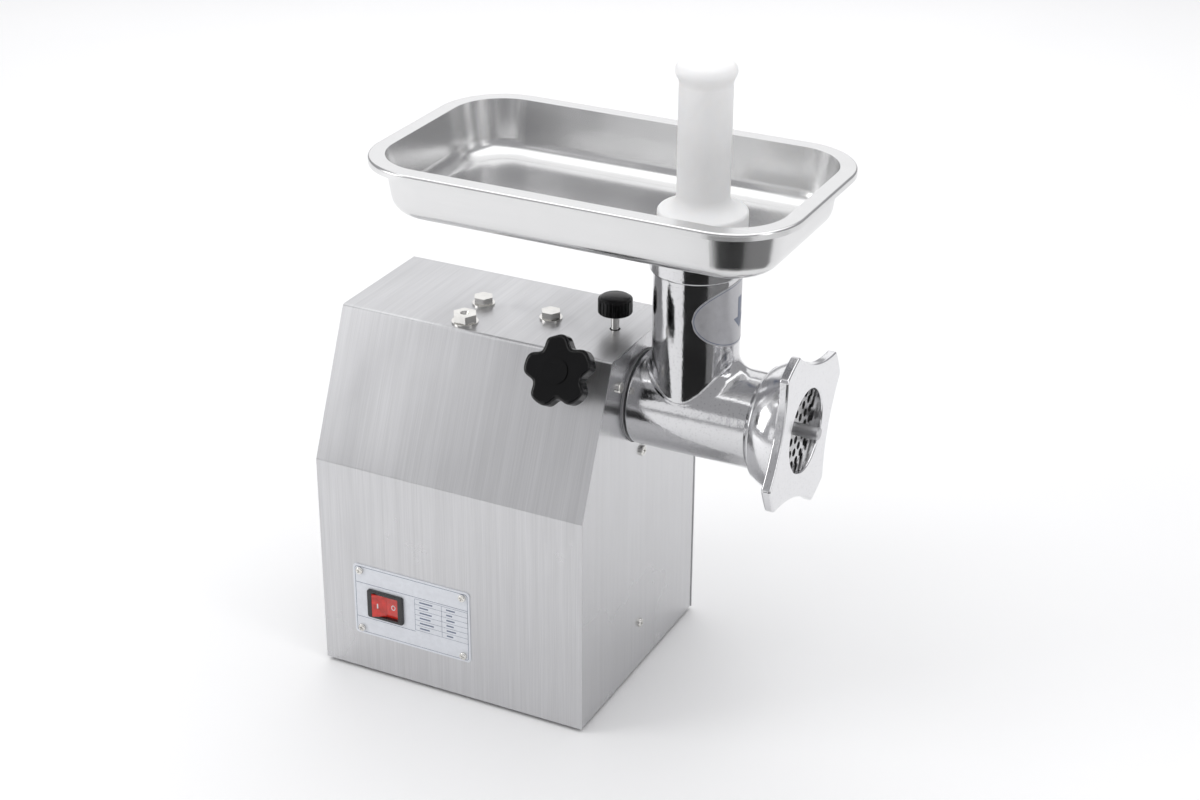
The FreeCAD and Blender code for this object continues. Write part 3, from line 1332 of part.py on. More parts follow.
nodes = [
    housing_shell, drive_end_panel, rear_end_panel, base_plate, rubber_feet, base_screws, chassis_nuts,
    panel_screws, rating_plate, rating_plate_screws, switch_body, rocker, switch_terminals,
    capacitor, capacitor_clamp, cable_gland, gland_nut, drive_end_bell, rear_bell, motor_stator,
    motor_windings, motor_bolts, motor_bearings, motor_shaft, rotor_core, motor_pinion, cooling_fan,
    motor_cradle, motor_hanger, gearbox_cover, gearbox_gasket, gearbox_housing,
    cover_bolts, output_bearings, layshaft_bushes, oil_seals, layshaft, layshaft_gear, layshaft_pinion,
    output_gear, output_shaft, grinder_head, auger_bush, thrust_washer, plate_pin, feed_label, auger,
    auger_stud, knife, grinder_plate, ring_nut, feed_tray, pusher, star_stud, star_knob, top_stud,
    top_knob, top_bolts, earth_bolt, top_washers,
]

os.makedirs("parts", exist_ok=True)
for make in nodes:
    shape = make()
    if not shape.isValid():
        raise ValueError(make.__name__ + " is not a valid solid")
    shape.exportStep("parts/" + make.__name__ + ".step")
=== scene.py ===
import math

import bmesh
import bpy
from mathutils import Matrix, Vector


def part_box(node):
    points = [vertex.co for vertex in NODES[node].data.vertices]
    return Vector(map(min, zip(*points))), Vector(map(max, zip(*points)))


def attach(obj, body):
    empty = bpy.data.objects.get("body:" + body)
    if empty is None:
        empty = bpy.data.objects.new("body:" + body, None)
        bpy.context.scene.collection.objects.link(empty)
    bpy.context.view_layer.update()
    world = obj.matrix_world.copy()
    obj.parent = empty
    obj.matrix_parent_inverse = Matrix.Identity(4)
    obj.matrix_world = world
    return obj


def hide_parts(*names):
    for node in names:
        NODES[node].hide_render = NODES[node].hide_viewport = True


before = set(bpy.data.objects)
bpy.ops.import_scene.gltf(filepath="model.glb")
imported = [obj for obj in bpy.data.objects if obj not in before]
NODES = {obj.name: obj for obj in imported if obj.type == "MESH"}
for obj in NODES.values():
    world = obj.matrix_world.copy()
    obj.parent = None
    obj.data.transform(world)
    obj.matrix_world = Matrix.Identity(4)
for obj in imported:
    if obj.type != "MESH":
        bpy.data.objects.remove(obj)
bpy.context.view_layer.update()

bl_info = {
    "name": "Meat grinder finish",
    "version": (1, 0, 0),
    "blender": (4, 5, 0),
    "location": "View3D > Sidebar > Grinder",
    "description": "Finishes, printed details and studio for a countertop meat grinder",
    "category": "Object",
}

MM = 0.001


# ---- places read from the model's parts -------------------------------------------------
def span(node):
    """Lowest corner, highest corner and middle of a node."""
    low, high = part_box(node)
    return low, high, (low + high) / 2


PLATE_LOW, PLATE_HIGH, _ = span("rating_plate")
LABEL_MIDDLE = span("feed_label")[2]


# ---- settings -----------------------------------------------------------------------------
class StudioSettings(bpy.types.PropertyGroup):
    """Camera, light and floor."""
    azimuth: bpy.props.FloatProperty(
        name="Azimuth", description="Camera turn from the front towards the head side",
        default=math.radians(26.39), unit="ROTATION")
    elevation: bpy.props.FloatProperty(
        name="Elevation", description="Camera height angle", default=math.radians(26.35), unit="ROTATION")
    roll: bpy.props.FloatProperty(
        name="Roll", description="Camera roll", default=math.radians(0.31), unit="ROTATION")
    distance: bpy.props.FloatProperty(
        name="Distance", description="Camera to its target", default=1.5016, unit="LENGTH")
    target: bpy.props.FloatVectorProperty(
        name="Target", description="Point the camera looks at", default=(0.1235, -0.0973, 0.2757),
        unit="LENGTH")
    lens: bpy.props.FloatProperty(
        name="Lens", description="Focal length in millimetres", default=66.67, min=10.0)
    floor_size: bpy.props.FloatProperty(
        name="Floor size", description="Side of the floor", default=14.0, unit="LENGTH")
    floor_tone: bpy.props.FloatVectorProperty(
        name="Floor tone", description="Colour of the floor", subtype="COLOR", default=(0.98, 0.98, 0.98))
    key_power: bpy.props.FloatProperty(
        name="Key light", description="Power of the large light on the left", default=10.0, unit="POWER")
    fill_power: bpy.props.FloatProperty(
        name="Fill light", description="Power of the light on the right", default=4.5, unit="POWER")
    top_power: bpy.props.FloatProperty(
        name="Top light", description="Power of the light overhead", default=84.0, unit="POWER")
    rear_power: bpy.props.FloatProperty(
        name="Rear light", description="Power of the wide light behind", default=5.0, unit="POWER")
    strip_power: bpy.props.FloatProperty(
        name="Strip light", description="Power of the narrow light in front", default=0.28, unit="POWER")
    sky_strength: bpy.props.FloatProperty(
        name="Sky", description="Strength of the even surrounding light", default=0.42, min=0.0)
    card_centre: bpy.props.FloatVectorProperty(
        name="Card centre", description="Point the dark boards fan out from", size=2, default=(0.15, 0.0),
        unit="LENGTH")
    card_height: bpy.props.FloatProperty(
        name="Card height", description="Height of the dark boards above the floor", default=0.03,
        unit="LENGTH")


class FinishSettings(bpy.types.PropertyGroup):
    """Colours of the finishes."""
    steel: bpy.props.FloatVectorProperty(
        name="Sheet steel", description="Brushed stainless casing", subtype="COLOR",
        default=(0.60, 0.60, 0.61))
    polished: bpy.props.FloatVectorProperty(
        name="Polished casting", description="Head and ring nut", subtype="COLOR", default=(0.66, 0.66, 0.67))
    tray: bpy.props.FloatVectorProperty(
        name="Tray steel", description="Pressed stainless tray", subtype="COLOR", default=(0.73, 0.73, 0.73))
    bright: bpy.props.FloatVectorProperty(
        name="Bright plating", description="Screws, bolts and studs", subtype="COLOR",
        default=(0.78, 0.77, 0.74))
    plastic: bpy.props.FloatVectorProperty(
        name="Pusher plastic", description="Waxy white plastic", subtype="COLOR", default=(0.94, 0.94, 0.935))
    rocker: bpy.props.FloatVectorProperty(
        name="Rocker", description="Translucent red switch rocker", subtype="COLOR",
        default=(0.62, 0.022, 0.012))
    black: bpy.props.FloatVectorProperty(
        name="Black plastic", description="Knobs and bezel", subtype="COLOR", default=(0.012, 0.012, 0.013))
    foil: bpy.props.FloatVectorProperty(
        name="Plate foil", description="Front plate ground", subtype="COLOR", default=(0.74, 0.76, 0.80))
    ink: bpy.props.FloatVectorProperty(
        name="Ink", description="Printed lines of the front plate and the feed label", subtype="COLOR",
        default=(0.16, 0.19, 0.27))


class PrintSettings(bpy.types.PropertyGroup):
    """Printed details."""
    line: bpy.props.FloatProperty(
        name="Line width", description="Width of the printed lines", default=0.35 * MM, unit="LENGTH")
    proud: bpy.props.FloatProperty(
        name="Ink height", description="How far ink stands off its ground", default=0.05 * MM, unit="LENGTH")
    margin: bpy.props.FloatProperty(
        name="Border inset", description="Border line in from the plate's edge", default=1.8 * MM,
        unit="LENGTH")
    corner: bpy.props.FloatProperty(
        name="Border corner", description="Radius of the border's corners", default=2.0 * MM, unit="LENGTH")
    table_sides: bpy.props.FloatVectorProperty(
        name="Table columns", description="Left edge and middle line, from the plate's left edge", size=2,
        default=(53.0 * MM, 76.0 * MM), unit="LENGTH")
    table_ends: bpy.props.FloatVectorProperty(
        name="Table ends", description="Foot and head of the table, from the plate's lower edge", size=2,
        default=(16.0 * MM, 43.0 * MM), unit="LENGTH")
    apart: bpy.props.FloatProperty(
        name="Line gap", description="From the table to the lines above and below it", default=1.5 * MM,
        unit="LENGTH")
    rows: bpy.props.IntProperty(
        name="Table rows", description="Rows of the printed table", default=6, min=1)


class NeckSettings(bpy.types.PropertyGroup):
    """Where the feed label lies on the neck."""
    axis_x: bpy.props.FloatProperty(
        name="Neck axis", description="X of the neck's axis", default=0.1503, unit="LENGTH")
    label_radius: bpy.props.FloatProperty(
        name="Label radius", description="Face of the neck that the label starts from", default=0.03106,
        unit="LENGTH")
    label_turn: bpy.props.FloatProperty(
        name="Label turn", description="Label's middle round the neck, from +X", default=math.radians(6.0),
        unit="ROTATION")
    label_half: bpy.props.FloatVectorProperty(
        name="Label half size", description="Half width round the neck and half height", size=2,
        default=(0.0425, 0.024), unit="LENGTH")
    label_depth: bpy.props.FloatProperty(
        name="Label depth", description="Thickness of the label", default=0.2 * MM, unit="LENGTH")
    border_inset: bpy.props.FloatProperty(
        name="Border inset", description="Border line in from the label's edge", default=1.5 * MM,
        unit="LENGTH")
    border_line: bpy.props.FloatProperty(
        name="Border line", description="Width of the border line", default=0.55 * MM, unit="LENGTH")
    arrow_size: bpy.props.FloatProperty(
        name="Arrow size", description="Half width of the arrow in the middle of the label", default=0.0085,
        unit="LENGTH")


# ---- shader groups ------------------------------------------------------------------------
def group_shell(name, inputs, outputs):
    """Empty shader node group with named sockets, and its input and output nodes."""
    tree = bpy.data.node_groups.new(name, "ShaderNodeTree")
    for label, kind, value in inputs:
        socket = tree.interface.new_socket(name=label, in_out="INPUT", socket_type=kind)
        socket.default_value = value
    for label, kind in outputs:
        tree.interface.new_socket(name=label, in_out="OUTPUT", socket_type=kind)
    return tree, tree.nodes.new("NodeGroupInput"), tree.nodes.new("NodeGroupOutput")


def add(tree, kind, **values):
    """New node with its properties and unlinked sockets set."""
    node = tree.nodes.new(kind)
    for key, value in values.items():
        if hasattr(node, key):
            setattr(node, key, value)
        else:
            node.inputs[key.replace("_", " ")].default_value = value
    return node


def place_scaled(tree, scale_socket):
    """Object coordinates multiplied by a vector socket."""
    where = tree.nodes.new("ShaderNodeTexCoord")
    times = add(tree, "ShaderNodeVectorMath", operation="MULTIPLY")
    tree.links.new(where.outputs["Object"], times.inputs[0])
    tree.links.new(scale_socket, times.inputs[1])
    return times.outputs[0]


def grain_group():
    """Long fine scratches of brushed or turned metal."""
    tree, given, out = group_shell(
        "grain",
        [("Stretch", "NodeSocketVector", (1500.0, 20.0, 20.0)), ("Contrast", "NodeSocketFloat", 1.0)],
        [("Streak", "NodeSocketFloat"), ("Height", "NodeSocketFloat")])
    spot = place_scaled(tree, given.outputs["Stretch"])
    fine = add(tree, "ShaderNodeTexNoise", Scale=1.0, Detail=3.0, Roughness=0.65)
    wide = add(tree, "ShaderNodeTexNoise", Scale=0.13, Detail=2.0, Roughness=0.5)
    tree.links.new(spot, fine.inputs["Vector"])
    tree.links.new(spot, wide.inputs["Vector"])
    both = add(tree, "ShaderNodeMath", operation="MULTIPLY_ADD")
    both.inputs[1].default_value = 0.65
    tree.links.new(fine.outputs[0], both.inputs[0])
    share = add(tree, "ShaderNodeMath", operation="MULTIPLY")
    share.inputs[1].default_value = 0.35
    tree.links.new(wide.outputs[0], share.inputs[0])
    tree.links.new(share.outputs[0], both.inputs[2])
    centred = add(tree, "ShaderNodeMath", operation="SUBTRACT")
    centred.inputs[1].default_value = 0.5
    tree.links.new(both.outputs[0], centred.inputs[0])
    stronger = add(tree, "ShaderNodeMath", operation="MULTIPLY_ADD")
    stronger.inputs[2].default_value = 0.5
    tree.links.new(centred.outputs[0], stronger.inputs[0])
    tree.links.new(given.outputs["Contrast"], stronger.inputs[1])
    tree.links.new(stronger.outputs[0], out.inputs["Streak"])
    tree.links.new(both.outputs[0], out.inputs["Height"])
    return tree


def smudge_group():
    """Slow uneven patches of handling, oil and polish."""
    tree, given, out = group_shell(
        "smudge", [("Size", "NodeSocketVector", (22.0, 22.0, 22.0))], [("Patch", "NodeSocketFloat")])
    spot = place_scaled(tree, given.outputs["Size"])
    patch = add(tree, "ShaderNodeTexNoise", Scale=1.0, Detail=4.0, Roughness=0.55, Distortion=0.4)
    tree.links.new(spot, patch.inputs["Vector"])
    ramp = add(tree, "ShaderNodeMapRange")
    ramp.inputs["From Min"].default_value = 0.32
    ramp.inputs["From Max"].default_value = 0.68
    tree.links.new(patch.outputs[0], ramp.inputs["Value"])
    tree.links.new(ramp.outputs[0], out.inputs["Patch"])
    return tree


def casting_group():
    """Pits and orange-peel of a cast surface."""
    tree, given, out = group_shell(
        "casting", [("Size", "NodeSocketVector", (900.0, 900.0, 900.0))],
        [("Height", "NodeSocketFloat"), ("Pits", "NodeSocketFloat")])
    spot = place_scaled(tree, given.outputs["Size"])
    swell = add(tree, "ShaderNodeTexNoise", Scale=0.16, Detail=3.0, Roughness=0.5)
    grit = add(tree, "ShaderNodeTexNoise", Scale=1.0, Detail=2.0, Roughness=0.6)
    cells = add(tree, "ShaderNodeTexVoronoi", Scale=0.55)
    for node in (swell, grit, cells):
        tree.links.new(spot, node.inputs["Vector"])
    pits = add(tree, "ShaderNodeMapRange")
    pits.inputs["From Min"].default_value = 0.05
    pits.inputs["From Max"].default_value = 0.30
    tree.links.new(cells.outputs["Distance"], pits.inputs["Value"])
    height = add(tree, "ShaderNodeMath", operation="MULTIPLY_ADD")
    height.inputs[1].default_value = 0.3
    tree.links.new(grit.outputs[0], height.inputs[0])
    tree.links.new(swell.outputs[0], height.inputs[2])
    tree.links.new(height.outputs[0], out.inputs["Height"])
    tree.links.new(pits.outputs[0], out.inputs["Pits"])
    return tree


def shader_group(name):
    """The named group, built the first time it is asked for."""
    makers = {"grain": grain_group, "smudge": smudge_group, "casting": casting_group}
    return bpy.data.node_groups.get(name) or makers[name]()


# ---- material building ----------------------------------------------------------------------
class Finish:
    """A material being built: a Principled shader and the groups that feed it."""

    def __init__(self, name, **fixed):
        self.material = bpy.data.materials.new(name)
        self.material.use_nodes = True
        self.tree = self.material.node_tree
        self.shader = self.tree.nodes["Principled BSDF"]
        for key, value in fixed.items():
            self.shader.inputs[key.replace("_", " ")].default_value = value

    def group(self, name, **values):
        node = self.tree.nodes.new("ShaderNodeGroup")
        node.node_tree = shader_group(name)
        for key, value in values.items():
            node.inputs[key].default_value = value
        return node

    def tones(self, factor, low, high):
        """Base colour between two tones."""
        mix = self.tree.nodes.new("ShaderNodeMix")
        mix.data_type = "RGBA"
        mix.inputs[6].default_value = (*low, 1.0)
        mix.inputs[7].default_value = (*high, 1.0)
        self.tree.links.new(factor, mix.inputs[0])
        self.tree.links.new(mix.outputs[2], self.shader.inputs["Base Color"])

    def roughness(self, factor, low, high):
        """Roughness between two values."""
        ramp = self.tree.nodes.new("ShaderNodeMapRange")
        ramp.inputs["To Min"].default_value = low
        ramp.inputs["To Max"].default_value = high
        self.tree.links.new(factor, ramp.inputs["Value"])
        self.tree.links.new(ramp.outputs[0], self.shader.inputs["Roughness"])

    def bump(self, height, depth):
        """Bump of a real depth in metres; a second call rides on the first."""
        node = self.tree.nodes.new("ShaderNodeBump")
        node.inputs["Strength"].default_value = 1.0
        node.inputs["Distance"].default_value = depth
        self.tree.links.new(height, node.inputs["Height"])
        linked = self.shader.inputs["Normal"].links
        if linked:
            self.tree.links.new(linked[0].from_socket, node.inputs["Normal"])
        self.tree.links.new(node.outputs[0], self.shader.inputs["Normal"])


def shade(tone, factor):
    return tuple(min(1.0, c * factor) for c in tone)


def brushed(name, tone, stretch, rough=(0.26, 0.40), depth=0.000012, contrast=1.6, aniso=0.5):
    """Sheet metal with a directional grain."""
    made = Finish(name, Metallic=1.0, Anisotropic=aniso)
    grain = made.group("grain", Stretch=stretch, Contrast=contrast)
    smudge = made.group("smudge", Size=(14.0, 9.0, 9.0))
    made.tones(grain.outputs["Streak"], shade(tone, 0.90), shade(tone, 1.08))
    made.roughness(smudge.outputs["Patch"], *rough)
    made.bump(grain.outputs["Height"], depth)
    return made.material


def polished(name, tone, rough=(0.07, 0.15), swell=0.00012, size=900.0):
    """Buffed casting: bright, a little wavy, with stray pits."""
    made = Finish(name, Metallic=1.0)
    casting = made.group("casting", Size=(size, size, size))
    smudge = made.group("smudge", Size=(30.0, 30.0, 30.0))
    made.tones(casting.outputs["Pits"], shade(tone, 0.72), tone)
    made.roughness(smudge.outputs["Patch"], *rough)
    made.bump(casting.outputs["Height"], swell)
    return made.material


def cast_raw(name, tone, rough=(0.45, 0.62)):
    """As-cast or bead-blasted metal."""
    made = Finish(name, Metallic=1.0)
    casting = made.group("casting", Size=(1400.0, 1400.0, 1400.0))
    smudge = made.group("smudge", Size=(40.0, 40.0, 40.0))
    made.tones(smudge.outputs["Patch"], shade(tone, 0.86), shade(tone, 1.06))
    made.roughness(casting.outputs["Pits"], *rough)
    made.bump(casting.outputs["Height"], 0.0002)
    return made.material


def turned(name, tone, rough=(0.14, 0.28), stretch=(2600.0, 60.0, 60.0)):
    """Machined or plated metal with fine turning lines."""
    made = Finish(name, Metallic=1.0)
    grain = made.group("grain", Stretch=stretch, Contrast=1.3)
    smudge = made.group("smudge", Size=(60.0, 60.0, 60.0))
    made.tones(smudge.outputs["Patch"], shade(tone, 0.88), shade(tone, 1.05))
    made.roughness(grain.outputs["Streak"], *rough)
    made.bump(grain.outputs["Height"], 0.000008)
    return made.material


def moulded(name, tone, rough=(0.30, 0.45), coat=0.0, depth=0.00004, size=1800.0, shine=0.5):
    """Moulded plastic or rubber with a faint texture."""
    made = Finish(name, Metallic=0.0, Coat_Weight=coat, Coat_Roughness=0.06, Specular_IOR_Level=shine)
    casting = made.group("casting", Size=(size, size, size))
    smudge = made.group("smudge", Size=(45.0, 45.0, 45.0))
    made.tones(smudge.outputs["Patch"], shade(tone, 0.85), shade(tone, 1.15))
    made.roughness(smudge.outputs["Patch"], *rough)
    made.bump(casting.outputs["Height"], depth)
    return made.material


def waxy_plastic(tone):
    """Milky plastic of the pusher, with light passing a little way in."""
    made = Finish("pusher_plastic", Metallic=0.0, Subsurface_Weight=0.55, Subsurface_Scale=0.012,
                  Subsurface_Radius=(1.0, 0.95, 0.9), Specular_IOR_Level=0.4)
    grain = made.group("grain", Stretch=(60.0, 60.0, 900.0), Contrast=0.8)
    smudge = made.group("smudge", Size=(30.0, 30.0, 30.0))
    made.tones(smudge.outputs["Patch"], shade(tone, 0.96), shade(tone, 1.02))
    made.roughness(smudge.outputs["Patch"], 0.32, 0.46)
    made.bump(grain.outputs["Height"], 0.00003)
    return made.material


def red_rocker(tone):
    """Glowing red of a clear-moulded rocker."""
    made = Finish("rocker_red", Metallic=0.0, Coat_Weight=0.8, Coat_Roughness=0.04,
                  Subsurface_Weight=0.35, Subsurface_Scale=0.003, Subsurface_Radius=(1.0, 0.15, 0.08))
    smudge = made.group("smudge", Size=(160.0, 160.0, 160.0))
    made.tones(smudge.outputs["Patch"], shade(tone, 0.7), shade(tone, 1.3))
    made.roughness(smudge.outputs["Patch"], 0.12, 0.22)
    return made.material


def printed(name, tone, rough=(0.35, 0.5), metallic=0.0):
    """Ink or foil with a slightly uneven lay."""
    made = Finish(name, Metallic=metallic)
    smudge = made.group("smudge", Size=(260.0, 260.0, 260.0))
    made.tones(smudge.outputs["Patch"], shade(tone, 0.95), shade(tone, 1.03))
    made.roughness(smudge.outputs["Patch"], *rough)
    return made.material


def copper_wire(tone):
    """Varnished winding wire, laid in coils."""
    made = Finish("copper_winding", Metallic=0.9, Coat_Weight=0.5, Coat_Roughness=0.2)
    grain = made.group("grain", Stretch=(60.0, 1100.0, 1100.0), Contrast=2.0)
    made.tones(grain.outputs["Streak"], shade(tone, 0.6), shade(tone, 1.2))
    made.roughness(grain.outputs["Streak"], 0.25, 0.5)
    made.bump(grain.outputs["Height"], 0.0003)
    return made.material


def wear(nodes, material):
    """Give CAD nodes a finish."""
    for name in nodes:
        slots = NODES[name].material_slots
        if not slots:
            NODES[name].data.materials.append(material)
        for slot in slots:
            slot.link = "OBJECT"
            slot.material = material


# ---- mesh building --------------------------------------------------------------------------
def object_from(name, verts, faces, material, smooth=False):
    """Mesh object from plain lists."""
    mesh = bpy.data.meshes.new(name)
    mesh.from_pydata([tuple(v) for v in verts], [], faces)
    mesh.validate()
    mesh.update()
    for polygon in mesh.polygons:
        polygon.use_smooth = smooth
    mesh.materials.append(material)
    piece = bpy.data.objects.new(name, mesh)
    bpy.context.scene.collection.objects.link(piece)
    return piece


class Stencil:
    """Thin raised print, laid down patch by patch in a flat (u, v) drawing."""

    def __init__(self, place, thickness):
        self.place = place
        self.thickness = thickness
        self.verts = []
        self.faces = []

    def patch(self, outline):
        """Closed convex outline, as a prism of the print's thickness."""
        start = len(self.verts)
        count = len(outline)
        for lift in (0.0, self.thickness):
            self.verts += [self.place(u, v, lift) for u, v in outline]
        self.faces.append([start + count + k for k in range(count)])
        self.faces.append([start + k for k in reversed(range(count))])
        for k in range(count):
            after = (k + 1) % count
            self.faces.append([start + k, start + after, start + count + after, start + count + k])

    def bar(self, u0, v0, u1, v1):
        """Upright rectangle."""
        self.patch([(u0, v0), (u1, v0), (u1, v1), (u0, v1)])

    def stroke(self, points, width, closed=False):
        """Band of a given width along points, cut into short patches."""
        count = len(points)
        last = count if closed else count - 1
        sides = []
        for k in range(count):
            before = points[(k - 1) % count] if closed or k else points[k]
            after = points[(k + 1) % count] if closed or k < count - 1 else points[k]
            du, dv = after[0] - before[0], after[1] - before[1]
            size = math.hypot(du, dv) or 1.0
            off_u, off_v = -dv / size * width / 2, du / size * width / 2
            u, v = points[k]
            sides.append(((u - off_u, v - off_v), (u + off_u, v + off_v)))
        for k in range(last):
            a, b = sides[k], sides[(k + 1) % count]
            self.patch([a[0], b[0], b[1], a[1]])

    def build(self, name, material, body):
        piece = object_from(name, self.verts, self.faces, material)
        clean = bmesh.new()
        clean.from_mesh(piece.data)
        bmesh.ops.recalc_face_normals(clean, faces=clean.faces)
        clean.to_mesh(piece.data)
        clean.free()
        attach(piece, body)
        return piece


def oval(half_u, half_v, steps, centre=(0.0, 0.0)):
    """Points of an oval."""
    points = []
    for k in range(steps):
        turn = 2 * math.pi * k / steps
        points.append((centre[0] + half_u * math.cos(turn), centre[1] + half_v * math.sin(turn)))
    return points


# ---- operators ------------------------------------------------------------------------------
class GRINDER_OT_casing(bpy.types.Operator):
    """Brushed sheet of the casing, its base and its feet"""
    bl_idname = "grinder.casing"
    bl_label = "Casing"

    def execute(self, context):
        tone = context.scene.grinder_finish.steel
        wear(["housing_shell"], brushed("steel_wrap", tone, (1500.0, 16.0, 16.0), contrast=2.6))
        wear(["drive_end_panel", "rear_end_panel"],
             brushed("steel_ends", tone, (16.0, 1500.0, 16.0), rough=(0.20, 0.30)))
        wear(["base_plate", "motor_cradle", "motor_hanger", "capacitor_clamp"],
             brushed("base_sheet", shade(tone, 0.9), (900.0, 20.0, 900.0), rough=(0.35, 0.5)))
        wear(["rubber_feet"], moulded("foot_rubber", (0.02, 0.02, 0.02), rough=(0.6, 0.8), depth=0.0001))
        return {"FINISHED"}


class GRINDER_OT_fasteners(bpy.types.Operator):
    """Bright plated screws, bolts, washers and studs"""
    bl_idname = "grinder.fasteners"
    bl_label = "Fasteners"

    def execute(self, context):
        bright = turned("bright_plating", context.scene.grinder_finish.bright, stretch=(300.0, 300.0, 2600.0))
        wear(["base_screws", "chassis_nuts", "panel_screws", "rating_plate_screws", "top_bolts", "earth_bolt",
              "top_washers", "motor_bolts", "cover_bolts", "star_stud", "top_stud"], bright)
        return {"FINISHED"}


class GRINDER_OT_front_plate(bpy.types.Operator):
    """Front plate with its printed border and blank table"""
    bl_idname = "grinder.front_plate"
    bl_label = "Front plate"

    def execute(self, context):
        finish = context.scene.grinder_finish
        settings = context.scene.grinder_print
        wear(["rating_plate"], printed("plate_foil", finish.foil, metallic=0.35))
        ink = printed("plate_ink", finish.ink)
        width = PLATE_HIGH.x - PLATE_LOW.x
        height = PLATE_HIGH.z - PLATE_LOW.z

        def on_plate(u, v, lift):
            return (PLATE_LOW.x + u, PLATE_LOW.y - lift, PLATE_LOW.z + v)

        line = settings.line
        drawing = Stencil(on_plate, settings.proud)
        inset = settings.margin
        corner = settings.corner
        border = []
        near = inset + corner
        for cu, cv, start in ((width - near, height - near, 0), (near, height - near, 1), (near, near, 2),
                              (width - near, near, 3)):
            for k in range(5):
                turn = math.pi / 2 * (start + k / 4)
                border.append((cu + corner * math.cos(turn), cv + corner * math.sin(turn)))
        drawing.stroke(border, line, closed=True)
        left, column = settings.table_sides
        right = width - inset
        low, high = settings.table_ends
        above, below = high + settings.apart, low - settings.apart
        drawing.bar(inset, above - line / 2, right, above + line / 2)
        drawing.bar(inset, below, left, below + line)
        step = (high - low) / settings.rows
        for k in range(settings.rows + 1):
            drawing.bar(left, low + k * step - line / 3, right, low + k * step + line / 3)
        for u in (left, column, right):
            drawing.bar(u - line / 3, low, u + line / 3, high)
        drawing.build("plate_lines", ink, "casing")

        bars = Stencil(on_plate, settings.proud)
        tall, indent = 0.26 * step, 4.0 * MM
        shares = (0.55, 0.8, 0.62, 0.7, 0.5, 0.75)
        for k in range(settings.rows):
            v = low + (k + 0.5) * step
            for start, longest in ((left + indent, 15.0 * MM), (column + indent, 10.0 * MM)):
                bars.bar(start, v - tall / 2, start + shares[k % len(shares)] * longest, v + tall / 2)
        bars.build("plate_bars", ink, "casing")
        return {"FINISHED"}


class GRINDER_OT_switch(bpy.types.Operator):
    """Switch body, rocker and the two marks on it"""
    bl_idname = "grinder.switch"
    bl_label = "Switch"

    def execute(self, context):
        finish = context.scene.grinder_finish
        wear(["switch_body"], moulded("switch_black", finish.black, rough=(0.22, 0.34), coat=0.3))
        wear(["rocker"], red_rocker(finish.rocker))
        wear(["switch_terminals"], turned("terminal_brass", (0.75, 0.58, 0.28)))
        self.marks(context.scene.grinder_print)
        return {"FINISHED"}

    def marks(self, settings):
        """Bar on the raised half, ring on the sunken half, laid on the rocker's own faces."""
        white = printed("mark_white", (0.80, 0.80, 0.80))
        low, _, middle = span("rocker")
        body = NODES["rocker"]
        inverse = body.matrix_world.inverted()

        def on_rocker(u, v, lift):
            start = Vector((middle.x + u, low.y - 0.02, middle.z + v))
            way = Vector((0.0, 1.0, 0.0))
            hit, where = body.ray_cast(inverse @ start, inverse.to_3x3() @ way)[:2]
            if not hit:
                raise RuntimeError("a switch mark misses the rocker")
            return body.matrix_world @ where - way * (lift + 0.03 * MM)

        drawing = Stencil(on_rocker, settings.proud)
        drawing.bar(-6.4 * MM, -2.0 * MM, -5.6 * MM, 2.0 * MM)
        drawing.stroke(oval(1.5 * MM, 1.9 * MM, 20, centre=(6.0 * MM, 0.0)), 0.6 * MM, closed=True)
        drawing.build("rocker_marks", white, "rocker_switch")


class GRINDER_OT_knobs(bpy.types.Operator):
    """Glossy black clamp knobs"""
    bl_idname = "grinder.knobs"
    bl_label = "Clamp knobs"

    def execute(self, context):
        black = moulded("knob_black", shade(context.scene.grinder_finish.black, 0.3), rough=(0.10, 0.18),
                        depth=0.00001, shine=0.28)
        wear(["star_knob", "top_knob"], black)
        self.crown(black)
        return {"FINISHED"}

    def crown(self, material):
        """Domed crown on the top knob."""
        low, high, middle = span("top_knob")
        radius = (high.x - low.x) / 2 * 0.90
        rise, rings, steps = 2.6 * MM, 7, 48
        verts, faces = [], []
        for k in range(rings):
            turn = math.pi / 2 * k / (rings - 1)
            reach = radius * math.cos(turn) if k < rings - 1 else 0.4 * MM
            for n in range(steps):
                a = 2 * math.pi * n / steps
                verts.append((middle.x + reach * math.cos(a), middle.y + reach * math.sin(a),
                              high.z + rise * math.sin(turn) - 0.05 * MM))
        for k in range(rings - 1):
            for n in range(steps):
                m = (n + 1) % steps
                faces.append((k * steps + n, k * steps + m, (k + 1) * steps + m, (k + 1) * steps + n))
        faces.append(tuple(range((rings - 1) * steps, rings * steps)))
        faces.append(tuple(reversed(range(steps))))
        piece = object_from("top_knob_crown", verts, faces, material, smooth=True)
        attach(piece, "top_grip")


class GRINDER_OT_head(bpy.types.Operator):
    """Polished head with ring nut, plate, knife and auger"""
    bl_idname = "grinder.head"
    bl_label = "Grinding head"

    def execute(self, context):
        tone = context.scene.grinder_finish.polished
        wear(["grinder_head"], polished("cast_head", tone))
        wear(["ring_nut"], polished("cast_ring", shade(tone, 1.16), rough=(0.12, 0.2), swell=0.00008))
        wear(["auger", "auger_stud"], cast_raw("auger_iron", shade(tone, 0.85), rough=(0.28, 0.42)))
        wear(["grinder_plate", "knife"], turned("blade_steel", (0.52, 0.52, 0.52), rough=(0.22, 0.36),
                                                stretch=(60.0, 1800.0, 60.0)))
        wear(["plate_pin"], turned("pin_steel", (0.6, 0.6, 0.6)))
        wear(["auger_bush"], cast_raw("bush_bronze", (0.60, 0.38, 0.18)))
        wear(["thrust_washer"], moulded("washer_nylon", (0.82, 0.82, 0.77)))
        return {"FINISHED"}


